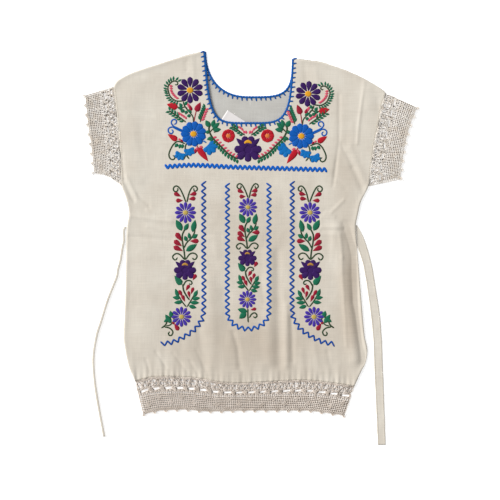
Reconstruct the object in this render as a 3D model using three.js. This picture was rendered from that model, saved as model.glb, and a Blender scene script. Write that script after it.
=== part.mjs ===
// A woman's embroidered cotton tunic dress, laid flat and face up.
//
// The front and the back are cut in one with their short sleeves and lie on each other. A crocheted lace
// edges each sleeve and the gathered hem, a crocheted rim edges the neck, and a tie leaves each side seam
// at the waist. The embroidery is flat thread work and isn't part of these solids.
//
// Frame: millimetres, +Z up from the surface that it lies on, +Y towards the neck, x = 0 on the centre
// line and y = 0 at the level of the waist ties. Left and right are the viewer's.

import * as THREE from 'three';

// ---- Driving sizes ------------------------------------------------------------------------------

const CLOTH = 1.2; // wall of the woven cotton
const LACE = 1.5; // wall of the crocheted lace
const LABEL = 1.0;
const TIE = 1.8; // a tie is a flat sewn tube of the same cotton
const SEAM_GAP = 0.3; // between pieces that are sewn to each other

const LOFT = 1.7; // how far the front lies off the back
const SIDE_ROLL = 2.2; // extra height where the cloth turns round at a side seam
const SIDE_ROLL_WIDTH = 7;

const NECK_CENTRE_X = 9;
const NECK_TOP_Y = 381;
const RIM_WIDTH = 4; // the crocheted rim on the neck edge
const RIM_HEIGHT = 2;
const FRONT_RIM_Z = 3.8; // middle of the rim over the back
const BACK_RIM_Z = 1;

const GATHERS = 40; // across the front, where the hem is drawn into the lace
const GATHER_HEIGHT = 1.5;
const GATHER_REACH = 62; // how far up the cloth the gathers run out

const HEM_REPEATS = 18; // repeats of the lace round the front of the hem
const CUFF_REPEATS = 8;
const SLOT_SHARE = 0.56; // of a repeat, the rest is the bar between two slots
const SLOT_TOP = 0.25; // across the lace from its seam, as a share of its depth
const SLOT_BOTTOM = 0.4;
const SCALLOP_DEPTH = 4.5;

// The side of the garment down from the neck: shoulder, sleeve opening, underarm, side seam.
const LEFT_SIDE = [
  { y: 381, x: -99 },
  { y: 368, x: -146 },
  { y: 355, x: -187 },
  { y: 342, x: -228 },
  { y: 329, x: -260 },
  { y: 316, x: -279 },
  { y: 306, x: -284 },
  { y: 277, x: -281 },
  { y: 213, x: -274 },
  { y: 148, x: -269 },
  { y: 92, x: -267 },
  { y: 75, x: -261 },
  { y: 56, x: -255 },
  { y: 34, x: -252 },
  { y: 6, x: -256 },
  { y: -67, x: -258 },
  { y: -153, x: -260 },
  { y: -234, x: -263 },
  { y: -264, x: -259 },
  { y: -295, x: -252 },
  { y: -327, x: -239 },
];
const RIGHT_SIDE = [
  { y: 365, x: 115 },
  { y: 360, x: 153 },
  { y: 353, x: 181 },
  { y: 342, x: 212 },
  { y: 329, x: 243 },
  { y: 316, x: 267 },
  { y: 303, x: 288 },
  { y: 293, x: 299 },
  { y: 267, x: 292 },
  { y: 224, x: 284 },
  { y: 181, x: 275 },
  { y: 138, x: 269 },
  { y: 92, x: 263 },
  { y: 75, x: 255 },
  { y: 56, x: 246 },
  { y: 34, x: 241 },
  { y: 6, x: 236 },
  { y: -67, x: 241 },
  { y: -153, x: 248 },
  { y: -230, x: 255 },
  { y: -262, x: 261 },
  { y: -284, x: 258 },
  { y: -307, x: 247 },
  { y: -338, x: 233 },
];
// Between these heights a side is a sleeve's opening, which the lace is sewn to.
const LEFT_OPENING = { top: 306, bottom: 92 };
const RIGHT_OPENING = { top: 293, bottom: 92 };

// Each half of a neckline is a squared curve whose half width narrows from the shoulder to its lowest point.
const NECKLINES = {
  frontLeft: { side: -1, depth: 156, topHalf: 101, bottomHalf: 87, square: 5 },
  frontRight: { side: 1, depth: 156, topHalf: 95, bottomHalf: 88, square: 4.5 },
  backLeft: { side: -1, depth: 100, topHalf: 99, bottomHalf: 95, square: 2.4 },
  backRight: { side: 1, depth: 100, topHalf: 94, bottomHalf: 94, square: 4 },
};
const NECK_STEPS = 13;

// The seam between the gathered cloth and the lace, and the lace's lower edge.
const HEM_SEAM = [
  { x: -239, y: -327 },
  { x: -198, y: -318 },
  { x: -159, y: -317 },
  { x: -99, y: -321 },
  { x: -56, y: -329 },
  { x: -13, y: -331 },
  { x: 88, y: -326 },
  { x: 123, y: -325 },
  { x: 178, y: -330 },
  { x: 233, y: -338 },
];
const HEM_EDGE = [
  { x: -220, y: -397 },
  { x: -181, y: -389 },
  { x: -133, y: -387 },
  { x: -82, y: -391 },
  { x: 24, y: -389 },
  { x: 123, y: -389 },
  { x: 172, y: -394 },
  { x: 210, y: -400 },
];
const LEFT_CUFF_EDGE = [
  { y: 286, x: -345 },
  { y: 234, x: -340 },
  { y: 170, x: -331 },
  { y: 120, x: -326 },
];
const RIGHT_CUFF_EDGE = [
  { y: 260, x: 366 },
  { y: 215, x: 349 },
  { y: 166, x: 338 },
  { y: 108, x: 330 },
];

// The largest folds of the front, each a straight ridge, or a trough where its height is negative.
const FOLDS = [
  { name: 'right side roll', x0: 240, y0: -60, x1: 246, y1: -170, width: 7, height: 1.5 },
  { name: 'right side roll, foot', x0: 247, y0: -182, x1: 256, y1: -255, width: 7, height: 1.5 },
  { name: 'right side trough, head', x0: 214, y0: 8, x1: 226, y1: -38, width: 9, height: -2.6 },
  { name: 'right side trough', x0: 230, y0: -53, x1: 233, y1: -158, width: 9, height: -3.2 },
  { name: 'right side trough, foot', x0: 235, y0: -173, x1: 252, y1: -286, width: 9, height: -3 },
  { name: 'swell beside the trough', x0: 194, y0: 0, x1: 206, y1: -90, width: 14, height: 2.6 },
  { name: 'swell beside the trough, foot', x0: 210, y0: -113, x1: 234, y1: -278, width: 13, height: 2.5 },
  { name: 'left half swell', x0: -215, y0: -60, x1: -212, y1: -240, width: 30, height: 1.2 },
  { name: 'middle swell', x0: -78, y0: -110, x1: -68, y1: -285, width: 16, height: 1.9 },
  { name: 'middle dip', x0: -44, y0: -140, x1: -36, y1: -200, width: 13, height: -1.2 },
  { name: 'middle trough', x0: -30, y0: -222, x1: -16, y1: -296, width: 7, height: -2.2 },
  { name: 'right of the middle', x0: 48, y0: -50, x1: 48, y1: -285, width: 12, height: 1.6 },
  { name: 'right hem trough', x0: 69, y0: -50, x1: 70, y1: -292, width: 9, height: -1.7 },
  { name: 'right hem ridge', x0: 90, y0: -165, x1: 92, y1: -292, width: 8, height: 1.8 },
  { name: 'left hem ridge', x0: -126, y0: -246, x1: -112, y1: -290, width: 9, height: 1.5 },
  { name: 'left hem trough', x0: -101, y0: -214, x1: -92, y1: -294, width: 8, height: -1.9 },
  { name: 'left hem crease', x0: -152, y0: -260, x1: -132, y1: -300, width: 7, height: -1.7 },
  { name: 'left sleeve drag', x0: -258, y0: 126, x1: -230, y1: 62, width: 8, height: 1.6 },
  { name: 'left waist ridge', x0: -246, y0: 28, x1: -160, y1: 16, width: 6, height: 1.6 },
  { name: 'left waist crease', x0: -250, y0: -20, x1: -160, y1: -26, width: 6, height: -1.4 },
  { name: 'right waist drag', x0: 172, y0: 28, x1: 210, y1: 66, width: 7, height: 1.4 },
  { name: 'armhole trough', x0: 201, y0: 286, x1: 200, y1: 192, width: 6, height: -1.6 },
  { name: 'armhole trough, foot', x0: 198, y0: 180, x1: 189, y1: 126, width: 7, height: -1.7 },
  { name: 'underarm trough', x0: 208, y0: 182, x1: 251, y1: 78, width: 7, height: -2.3 },
  { name: 'underarm ridge', x0: 226, y0: 178, x1: 257, y1: 104, width: 8, height: 1.9 },
  { name: 'sleeve pressed ridge', x0: 254, y0: 314, x1: 240, y1: 184, width: 7, height: 1.8 },
  { name: 'left sleeve swell', x0: -250, y0: 280, x1: -240, y1: 120, width: 24, height: 1.4 },
];

// The right tie lies flat, and its root slants out from the side seam.
const RIGHT_TIE = [
  { y: 8, inner: 236, outer: 239 },
  { y: -6, inner: 236, outer: 247 },
  { y: -27, inner: 236, outer: 256 },
  { y: -52, inner: 244, outer: 264 },
  { y: -80, inner: 252, outer: 271 },
  { y: -135, inner: 261, outer: 280 },
  { y: -187, inner: 268, outer: 288 },
  { y: -241, inner: 273, outer: 292 },
  { y: -295, inner: 275, outer: 294 },
  { y: -401, inner: 280, outer: 298 },
  { y: -464, inner: 283, outer: 300 },
];
const TIE_GAP = 0.6; // between its root and the side seam
const RIGHT_TIE_STEPS = 24;
// The left tie is folded along its middle, and this is the line that it lies on.
const LEFT_TIE = [
  { x: -258.8, y: 5 },
  { x: -263, y: -4 },
  { x: -262.5, y: -24 },
  { x: -266, y: -42 },
  { x: -270, y: -67 },
  { x: -275.5, y: -88 },
  { x: -277.5, y: -102 },
  { x: -285, y: -121 },
  { x: -297.5, y: -153 },
  { x: -311.5, y: -198 },
  { x: -321, y: -229 },
  { x: -328, y: -274 },
  { x: -326, y: -321 },
  { x: -318, y: -376 },
  { x: -305, y: -446 },
];
const LEFT_TIE_WIDTH = 5.2;
const LEFT_TIE_FOLD = 0.4; // the air between its two layers
const LEFT_TIE_STEPS = 52;

const NECK_LABEL = { x: -27, y: 231, width: 48, height: 28, turn: -33 };

// ---- Curves and rows ----------------------------------------------------------------------------

const { lerp, clamp, degToRad } = THREE.MathUtils;

// A smooth curve through a table's rows that never overshoots them: the value of `out` where `key` is at.
function curveThrough(table, key, out) {
  const rows = [...table].sort((a, b) => a[key] - b[key]);
  const step = (i) => rows[i + 1][key] - rows[i][key];
  const slope = (i) => (rows[i + 1][out] - rows[i][out]) / step(i);
  const tangent = (i) => {
    if (i === 0) return slope(0);
    if (i === rows.length - 1) return slope(i - 1);
    const before = slope(i - 1);
    const after = slope(i);
    return before * after <= 0 ? 0 : (2 * before * after) / (before + after);
  };
  return (at) => {
    let i = 0;
    while (i < rows.length - 2 && at > rows[i + 1][key]) i += 1;
    const t = clamp((at - rows[i][key]) / step(i), 0, 1);
    const t2 = t * t;
    const t3 = t2 * t;
    return (
      (2 * t3 - 3 * t2 + 1) * rows[i][out] +
      (t3 - 2 * t2 + t) * step(i) * tangent(i) +
      (3 * t2 - 2 * t3) * rows[i + 1][out] +
      (t3 - t2) * step(i) * tangent(i + 1)
    );
  };
}

const leftSide = curveThrough(LEFT_SIDE, 'y', 'x');
const rightSide = curveThrough(RIGHT_SIDE, 'y', 'x');
const hemSeam = curveThrough(HEM_SEAM, 'x', 'y');
const hemEdge = curveThrough(HEM_EDGE, 'x', 'y');
const leftCuffEdge = curveThrough(LEFT_CUFF_EDGE, 'y', 'x');
const rightCuffEdge = curveThrough(RIGHT_CUFF_EDGE, 'y', 'x');

const evenly = (count, from, to) =>
  Array.from({ length: count + 1 }, (_, i) => lerp(from, to, i / count));

// A neckline's half width at a share of its depth.
function neckHalf({ topHalf, bottomHalf, square }, share) {
  return lerp(topHalf, bottomHalf, share) * (1 - share ** square) ** (1 / square);
}

// Points down one half of a neckline, evenly along it, from the shoulder to its lowest point.
function neckPoints(neckline, shoulderY) {
  const first = Math.asin((NECK_TOP_Y - shoulderY) / neckline.depth);
  const fine = evenly(400, first, Math.PI / 2).map((turn) => {
    const share = Math.sin(turn);
    return new THREE.Vector2(
      NECK_CENTRE_X + neckline.side * neckHalf(neckline, share),
      NECK_TOP_Y - neckline.depth * share,
    );
  });
  const lengths = [0];
  for (let i = 1; i < fine.length; i += 1) lengths.push(lengths[i - 1] + fine[i].distanceTo(fine[i - 1]));
  return evenly(NECK_STEPS, 0, lengths.at(-1)).map((at) => {
    const i = Math.max(lengths.findIndex((length) => length >= at - 1e-9), 1);
    const share = (at - lengths[i - 1]) / (lengths[i] - lengths[i - 1]);
    return fine[i - 1].clone().lerp(fine[i], share);
  });
}

// ---- Heights ------------------------------------------------------------------------------------

// Points along the closed edges of the garment: the shoulders, the underarms and the side seams.
const closedEdges = [
  { side: leftSide, opening: LEFT_OPENING, top: LEFT_SIDE[0].y, bottom: LEFT_SIDE.at(-1).y },
  { side: rightSide, opening: RIGHT_OPENING, top: RIGHT_SIDE[0].y, bottom: RIGHT_SIDE.at(-1).y },
].map(({ side, opening, top, bottom }) =>
  evenly(180, top, bottom)
    .filter((y) => y > opening.top || y < opening.bottom)
    .map((y) => new THREE.Vector2(side(y), y)),
);

function distanceToPath(path, x, y) {
  let nearest = Infinity;
  for (let i = 1; i < path.length; i += 1) {
    const a = path[i - 1];
    const b = path[i];
    if (Math.abs(a.y - b.y) > 20) continue; // the sleeve's opening
    nearest = Math.min(nearest, distanceToSegment(x, y, a.x, a.y, b.x, b.y));
  }
  return nearest;
}

function distanceToSegment(x, y, x0, y0, x1, y1) {
  const run = new THREE.Vector2(x1 - x0, y1 - y0);
  const t = clamp(((x - x0) * run.x + (y - y0) * run.y) / run.lengthSq(), 0, 1);
  return Math.hypot(x - x0 - t * run.x, y - y0 - t * run.y);
}

function foldHeight(x, y) {
  let height = 0;
  for (const fold of FOLDS) {
    const off = distanceToSegment(x, y, fold.x0, fold.y0, fold.x1, fold.y1) / fold.width;
    height += fold.height * Math.exp(-off * off);
  }
  return height;
}

// The waves that the hem is gathered into, highest at the seam with the lace.
function gatherHeight(x, y) {
  const up = (y - hemSeam(x)) / GATHER_REACH;
  if (up > 1) return 0;
  const across = (x - HEM_SEAM[0].x) / (HEM_SEAM.at(-1).x - HEM_SEAM[0].x);
  return GATHER_HEIGHT * (1 - clamp(up, 0, 1)) ** 2 * Math.cos(2 * Math.PI * GATHERS * across);
}

// The underside of the front, which comes down to the back at the closed edges.
function frontUnderside(x, y) {
  const off = Math.min(...closedEdges.map((path) => distanceToPath(path, x, y)));
  const near = off / SIDE_ROLL_WIDTH;
  const roll = SIDE_ROLL * near * Math.exp(1 - near);
  const lie = LOFT * (1 - Math.exp(-2.2 * near)) + roll;
  const shaped = lie + (foldHeight(x, y) + gatherHeight(x, y)) * clamp(near, 0, 1);
  return CLOTH + SEAM_GAP + Math.max(shaped, 0);
}

// A wall measured straight up is thicker where the cloth slopes.
function upright(height, thickness, x, y) {
  const reach = 0.5;
  const slope = Math.hypot(
    (height(x + reach, y) - height(x - reach, y)) / (2 * reach),
    (height(x, y + reach) - height(x, y - reach)) / (2 * reach),
  );
  return thickness * Math.hypot(1, clamp(slope, 0, 1.5));
}

// ---- Solids -------------------------------------------------------------------------------------

// Triangles between rows of points that run from left to right, each row cut into its own steps.
// A row's points are { x, y, share }, and isOpen leaves out what is cut through.
function stitchRows(rows, isOpen = () => false) {
  const points = rows.flat();
  const triangles = [];
  let start = 0;
  for (let row = 1; row < rows.length; row += 1) {
    const upper = rows[row - 1];
    const lower = rows[row];
    const next = start + upper.length;
    let i = 0;
    let j = 0;
    while (i < upper.length - 1 || j < lower.length - 1) {
      const upperShare = i < upper.length - 1 ? upper[i + 1].share : Infinity;
      const lowerShare = j < lower.length - 1 ? lower[j + 1].share : Infinity;
      const down = lowerShare <= upperShare;
      const middle = down
        ? (lower[j].share + lower[j + 1].share) / 2
        : (upper[i].share + upper[i + 1].share) / 2;
      const corners = down
        ? [start + i, next + j, next + j + 1]
        : [start + i, next + j, start + i + 1];
      if (!isOpen(row - 1, middle)) triangles.push(corners);
      if (down) j += 1;
      else i += 1;
    }
    start = next;
  }
  return { points, triangles };
}

// Several plans that share points along their meeting lines, as one.
function joinPlans(plans) {
  const places = new Map();
  const points = [];
  const triangles = [];
  for (const plan of plans) {
    const number = plan.points.map((point) => {
      const place = `${point.x.toFixed(3)} ${point.y.toFixed(3)}`;
      if (!places.has(place)) {
        places.set(place, points.length);
        points.push(point);
      }
      return places.get(place);
    });
    for (const corners of plan.triangles) {
      const named = corners.map((corner) => number[corner]);
      if (new Set(named).size === 3) triangles.push(named);
    }
  }
  return { points, triangles };
}

// A closed wall over a plan, from its underside up, with an upright strip along each free edge.
function wall(plan, underside, thickness) {
  const count = plan.points.length;
  const positions = new Float32Array(count * 6);
  plan.points.forEach(({ x, y }, i) => {
    const low = underside(x, y);
    positions.set([x, y, low + upright(underside, thickness, x, y)], i * 3);
    positions.set([x, y, low], (count + i) * 3);
  });
  const used = new Set();
  for (const [a, b, c] of plan.triangles) [[a, b], [b, c], [c, a]].forEach((edge) => used.add(edge.join()));
  const index = [];
  for (const [a, b, c] of plan.triangles) {
    index.push(a, b, c, count + c, count + b, count + a);
    for (const [from, to] of [[a, b], [b, c], [c, a]]) {
      if (used.has([to, from].join())) continue;
      index.push(from, count + from, count + to, from, count + to, to);
    }
  }
  return closedGeometry(positions, index);
}

function closedGeometry(positions, index) {
  const geometry = new THREE.BufferGeometry();
  geometry.setAttribute('position', new THREE.BufferAttribute(new Float32Array(positions), 3));
  geometry.setIndex(index);
  geometry.computeVertexNormals();
  return geometry;
}

// A closed bar: a ring of { across, up } carried along a path in plan, mitred at each point.
function sweep(path, ring, height) {
  const positions = [];
  path.forEach((point, i) => {
    const before = path[Math.max(i - 1, 0)];
    const after = path[Math.min(i + 1, path.length - 1)];
    const ahead = after.clone().sub(before).normalize();
    const inwards = point.clone().sub(before).normalize();
    const mitre = i === 0 || i === path.length - 1 ? 1 : 1 / Math.max(ahead.dot(inwards), 0.6);
    for (const { across, up } of ring) {
      positions.push(
        point.x - ahead.y * across * mitre,
        point.y + ahead.x * across * mitre,
        height + up,
      );
    }
  });
  const sides = ring.length;
  const index = [];
  for (let i = 0; i < path.length - 1; i += 1) {
    for (let k = 0; k < sides; k += 1) {
      const a = i * sides + k;
      const b = i * sides + ((k + 1) % sides);
      index.push(a, b, b + sides, a, b + sides, a + sides);
    }
  }
  const contour = ring.map(({ across, up }) => new THREE.Vector2(across, up));
  const last = (path.length - 1) * sides;
  for (const [a, b, c] of THREE.ShapeUtils.triangulateShape(contour, [])) {
    index.push(a, c, b, last + a, last + b, last + c);
  }
  return closedGeometry(positions, index);
}

const ellipse = (width, height, sides) =>
  Array.from({ length: sides }, (_, i) => {
    const angle = (2 * Math.PI * i) / sides;
    return { across: (Math.cos(angle) * width) / 2, up: (Math.sin(angle) * height) / 2 };
  });

// ---- Panels -------------------------------------------------------------------------------------

// The rows that a panel is cut into. Each runs from a height on the side to a point of the neckline while
// there is one, and below it to a height on the centre line.
const LEFT_NECK_ROWS = [381, 372, 362, 352, 342, 331, 319, 306, 288, 270, 252, 234, 216, 198];
const RIGHT_NECK_ROWS = [365, 360, 352, 344, 335, 325, 314, 303, 293, 276, 257, 238, 218, 198];
const BODY_ROWS = [
  { side: 176, middle: 196 },
  { side: 152, middle: 166 },
  { side: 122, middle: 130 },
  { side: 92, middle: 96 },
  { side: 75, middle: 75 },
  { side: 56, middle: 56 },
  { side: 34, middle: 34 },
  { side: 6, middle: 6 },
  { side: -30, middle: -30 },
  { side: -67, middle: -67 },
  { side: -110, middle: -110 },
  { side: -153, middle: -153 },
  { side: -195, middle: -195 },
  { side: -230, middle: -230 },
  { side: -255, middle: -255 },
  { side: -275, middle: -275 },
  { side: -292, middle: -292 },
  { side: -306, middle: -306 },
  { side: -317, middle: -317 },
  { side: -327, middle: -327 },
];
const HEM_BEND_START = -200;

// Distances from the side at which a row is cut, before it is cut evenly to the middle.
const EDGE_CUTS = [0, 3, 8, 15, 23, 31, 40, 50];

// How finely each panel's rows are cut across, and how many of its last rows are cut for the gathers.
const FRONT_CUT = { edgeCuts: EDGE_CUTS, halfSteps: 15, gatherSteps: GATHERS * 2, gatherRows: 3 };
const BACK_CUT = { edgeCuts: [0], halfSteps: 4, gatherSteps: 40, gatherRows: 1 };

// One row of a half panel, from left to right, between the side and the neck or the centre line.
function halfRow(outer, inner, cut, gathered) {
  const width = Math.abs(inner.x - outer.x);
  const edge = cut.edgeCuts.filter((at) => at < width * 0.6).map((at) => at / width);
  const plain = edge.concat(evenly(cut.halfSteps, edge.at(-1), 1).slice(1));
  const shares = gathered ? evenly(cut.gatherSteps, 0, 1) : plain;
  const points = shares.map((share) => ({ x: lerp(outer.x, inner.x, share), y: lerp(outer.y, inner.y, share), share }));
  if (outer.x < inner.x) return points;
  return points.reverse().map((point) => ({ ...point, share: 1 - point.share }));
}

// The body rows bend to the hem's own curve as they come down to it.
function bent(x, y) {
  const near = clamp((HEM_BEND_START - y) / (HEM_BEND_START - HEM_SEAM[0].y), 0, 1) ** 2;
  return y + (hemSeam(x) - HEM_SEAM[0].y) * near;
}

// One half of a panel: rows down the neckline, then rows down the centre line to the hem.
function halfPanel(side, neckRows, neckline, cut) {
  const neck = neckPoints(neckline, neckRows[0]);
  const rows = neckRows.map((y, i) => halfRow({ x: side(y), y }, neck[i], cut, false));
  BODY_ROWS.forEach((row, i) => {
    const outer = { x: side(bent(side(row.side), row.side)), y: row.side };
    const inner = { x: NECK_CENTRE_X, y: row.middle };
    const gathered = i >= BODY_ROWS.length - cut.gatherRows;
    const points = halfRow(outer, inner, cut, gathered);
    rows.push(points.map((point) => ({ ...point, y: bent(point.x, point.y) })));
  });
  return stitchRows(rows);
}

function panelPlan(leftNeck, rightNeck, cut) {
  return joinPlans([
    halfPanel(leftSide, LEFT_NECK_ROWS, leftNeck, cut),
    halfPanel(rightSide, RIGHT_NECK_ROWS, rightNeck, cut),
  ]);
}

// ---- Lace ---------------------------------------------------------------------------------------

// The steps of one repeat of lace: the slot between its bars, and the scallop with its picot.
const SLOT_STEPS = [(1 - SLOT_SHARE) / 2, (1 + SLOT_SHARE) / 2];
const SCALLOP = [
  { at: 0, drop: 1 },
  { at: 0.22, drop: 0.3 },
  { at: 0.5, drop: 0 },
  { at: 0.78, drop: 0.3 },
];
const LACE_ROWS = [0, SLOT_TOP, SLOT_BOTTOM, 0.7, 1];

// A band of lace between its seam and its edge, with a slot cut through in each repeat.
function lacePlan(seam, edge, repeats) {
  const slotSteps = [0];
  const scallopSteps = [];
  for (let repeat = 0; repeat < repeats; repeat += 1) {
    slotSteps.push(...SLOT_STEPS.map((at) => (repeat + at) / repeats));
    scallopSteps.push(...SCALLOP.map(({ at, drop }) => ({ share: (repeat + at) / repeats, drop })));
  }
  slotSteps.push(1);
  scallopSteps.push({ share: 1, drop: 1 });
  const across = (share, depth, drop) => {
    const from = seam(share);
    const to = edge(share);
    const point = from.clone().lerp(to, depth);
    return point.add(to.clone().sub(from).setLength(drop * SCALLOP_DEPTH));
  };
  const rows = LACE_ROWS.map((depth, row) =>
    row < LACE_ROWS.length - 1
      ? slotSteps.map((share) => ({ share, point: across(share, depth, 0) }))
      : scallopSteps.map(({ share, drop }) => ({ share, point: across(share, depth, drop - 1) })),
  );
  const inSlot = (row, share) => row === 1 && Math.abs(((share * repeats) % 1) - 0.5) < SLOT_SHARE / 2;
  return stitchRows(
    rows.map((row) => row.map(({ share, point }) => ({ x: point.x, y: point.y, share }))),
    inSlot,
  );
}

// The lace starts this far from the sides and the hem of the cloth, which their curves cut across.
const LACE_GAP = SEAM_GAP + 0.4;
const hemSeamAt = (share) => {
  const x = lerp(HEM_SEAM[0].x + 1, HEM_SEAM.at(-1).x - 1, share);
  return new THREE.Vector2(x, hemSeam(x) - LACE_GAP);
};
const hemEdgeAt = (share) => {
  const x = lerp(HEM_EDGE[0].x, HEM_EDGE.at(-1).x, share);
  return new THREE.Vector2(x, hemEdge(x) - SCALLOP_DEPTH / 2);
};
// A cuff's rows run so that its faces point up: down the left cuff and up the right one.
const cuffLine = (side, top, bottom, off) => (share) => {
  const y = lerp(top, bottom, share);
  return new THREE.Vector2(side(y) + off, y);
};

// Lace that is folded round: the upper layer comes down to the lower one at its two closed ends.
function upperLaceUnderside(start, end) {
  const along = end.clone().sub(start);
  return (x, y) => {
    const share = clamp(new THREE.Vector2(x, y).sub(start).dot(along) / along.lengthSq(), 0, 1);
    const off = (Math.min(share, 1 - share) * along.length()) / SIDE_ROLL_WIDTH;
    return LACE + SEAM_GAP + LOFT * (1 - Math.exp(-2 * off));
  };
}

// ---- The garment --------------------------------------------------------------------------------

const cotton = (color) => new THREE.MeshStandardMaterial({ color, roughness: 0.9, metalness: 0 });
const clothFinish = cotton('#ddd5c7');
const laceFinish = cotton('#d9ccb9');
const rimFinish = cotton('#23498c');
const labelFinish = cotton('#f2f0ee');

const garment = new THREE.Group();

function addPiece(name, geometry, finish) {
  const mesh = new THREE.Mesh(geometry, finish);
  mesh.name = name;
  garment.add(mesh);
  return mesh;
}

const onTheFloor = () => 0;
const { frontLeft, frontRight, backLeft, backRight } = NECKLINES;

addPiece('back_panel', wall(panelPlan(backLeft, backRight, BACK_CUT), onTheFloor, CLOTH), clothFinish);
addPiece('front_panel', wall(panelPlan(frontLeft, frontRight, FRONT_CUT), frontUnderside, CLOTH), clothFinish);

// The rim lies just inside the neck edge that it is worked on.
function rimPath(left, right) {
  const leftPoints = neckPoints(left, LEFT_NECK_ROWS[0]);
  const rightPoints = neckPoints(right, RIGHT_NECK_ROWS[0]);
  const edge = leftPoints.concat(rightPoints.reverse().slice(1));
  const off = RIM_WIDTH / 2 + SEAM_GAP;
  return edge.map((point, i) => {
    const before = edge[Math.max(i - 1, 0)];
    const after = edge[Math.min(i + 1, edge.length - 1)];
    const ahead = after.clone().sub(before).normalize();
    const inwards = point.clone().sub(before).normalize();
    const mitre = i === 0 || i === edge.length - 1 ? 1 : 1 / Math.max(ahead.dot(inwards), 0.6);
    return new THREE.Vector2(point.x - ahead.y * off * mitre, point.y + ahead.x * off * mitre);
  });
}
const rimRing = ellipse(RIM_WIDTH, RIM_HEIGHT, 6);
addPiece('neck_rim_front', sweep(rimPath(frontLeft, frontRight), rimRing, FRONT_RIM_Z), rimFinish);
addPiece('neck_rim_back', sweep(rimPath(backLeft, backRight), rimRing, BACK_RIM_Z), rimFinish);

const hemLace = lacePlan(hemSeamAt, hemEdgeAt, HEM_REPEATS);
const hemLaceUpper = upperLaceUnderside(hemSeamAt(0).lerp(hemEdgeAt(0), 0.5), hemSeamAt(1).lerp(hemEdgeAt(1), 0.5));
addPiece('hem_lace_back', wall(hemLace, onTheFloor, LACE), laceFinish);
addPiece('hem_lace_front', wall(hemLace, hemLaceUpper, LACE), laceFinish);

const cuffs = [
  {
    name: 'left',
    seam: cuffLine(leftSide, LEFT_OPENING.top - 1, LEFT_OPENING.bottom + 1, -LACE_GAP),
    edge: cuffLine(leftCuffEdge, LEFT_CUFF_EDGE[0].y, LEFT_CUFF_EDGE.at(-1).y, -SCALLOP_DEPTH / 2),
  },
  {
    name: 'right',
    seam: cuffLine(rightSide, RIGHT_OPENING.bottom + 1, RIGHT_OPENING.top - 1, LACE_GAP),
    edge: cuffLine(rightCuffEdge, RIGHT_CUFF_EDGE.at(-1).y, RIGHT_CUFF_EDGE[0].y, SCALLOP_DEPTH / 2),
  },
];
for (const { name, seam, edge } of cuffs) {
  const plan = lacePlan(seam, edge, CUFF_REPEATS);
  const upper = upperLaceUnderside(seam(0).lerp(edge(0), 0.5), seam(1).lerp(edge(1), 0.5));
  addPiece(`${name}_cuff_lace_back`, wall(plan, onTheFloor, LACE), laceFinish);
  addPiece(`${name}_cuff_lace_front`, wall(plan, upper, LACE), laceFinish);
}

// The right tie: rows across it, each from the side seam or its own inner edge to its outer edge.
const tieInner = curveThrough(RIGHT_TIE, 'y', 'inner');
const tieOuter = curveThrough(RIGHT_TIE, 'y', 'outer');
const tieRows = evenly(RIGHT_TIE_STEPS, RIGHT_TIE[0].y, RIGHT_TIE.at(-1).y).map((y) => {
  const seam = rightSide(y) + TIE_GAP;
  const inner = Math.max(tieInner(y), seam);
  return evenly(2, inner, tieOuter(y)).map((x, i) => ({ x, y, share: i / 2 }));
});
addPiece('right_tie', wall(stitchRows(tieRows), onTheFloor, TIE), clothFinish);

// The left tie: a strip folded along its middle, open along its outer side.
const half = LEFT_TIE_WIDTH / 2;
const foldedRing = [
  { across: -half, up: 0 },
  { across: half, up: 0 },
  { across: half, up: 2 * TIE + LEFT_TIE_FOLD },
  { across: -half, up: 2 * TIE + LEFT_TIE_FOLD },
  { across: -half, up: TIE + LEFT_TIE_FOLD },
  { across: half - TIE, up: TIE + LEFT_TIE_FOLD },
  { across: half - TIE, up: TIE },
  { across: -half, up: TIE },
];
const tieLine = new THREE.CatmullRomCurve3(LEFT_TIE.map(({ x, y }) => new THREE.Vector3(x, y, 0)), false, 'centripetal');
const tiePath = tieLine.getSpacedPoints(LEFT_TIE_STEPS).map(({ x, y }) => new THREE.Vector2(x, y));
addPiece('left_tie', sweep(tiePath, foldedRing, 0), clothFinish);

const label = addPiece('neck_label', new THREE.BoxGeometry(NECK_LABEL.width, NECK_LABEL.height, LABEL), labelFinish);
label.position.set(NECK_LABEL.x, NECK_LABEL.y, CLOTH + SEAM_GAP + LABEL / 2);
label.rotation.z = degToRad(NECK_LABEL.turn);

export default garment;
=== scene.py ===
"""A Mexican embroidered tunic dress of unbleached cotton, laid flat and face up.

Lengths are millimetres until a finished mesh is scaled to metres. x runs to the viewer's right, y towards
the neck and z up from the surface. x = 0 is near the middle of the body and y = 0 by the waist ties.
"""

import math
from bisect import bisect_left
from typing import NamedTuple

import bmesh
import bpy
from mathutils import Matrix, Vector, noise
from mathutils.kdtree import KDTree


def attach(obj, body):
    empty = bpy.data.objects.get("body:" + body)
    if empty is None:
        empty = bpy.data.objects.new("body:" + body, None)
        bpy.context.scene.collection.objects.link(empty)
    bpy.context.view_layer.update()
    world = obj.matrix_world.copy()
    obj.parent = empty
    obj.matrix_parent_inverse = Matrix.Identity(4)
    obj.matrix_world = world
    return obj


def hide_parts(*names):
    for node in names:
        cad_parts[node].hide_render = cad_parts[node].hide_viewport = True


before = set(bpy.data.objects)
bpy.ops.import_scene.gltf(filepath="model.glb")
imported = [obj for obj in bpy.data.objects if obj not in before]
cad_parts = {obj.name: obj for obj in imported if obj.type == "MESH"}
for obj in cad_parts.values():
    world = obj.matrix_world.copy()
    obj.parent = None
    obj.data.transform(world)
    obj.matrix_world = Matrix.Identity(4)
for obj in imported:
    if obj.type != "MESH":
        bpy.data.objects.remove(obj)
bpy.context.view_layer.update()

MM = 0.001

# ---- The cut of the dress -----------------------------------------------------------------------

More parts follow.
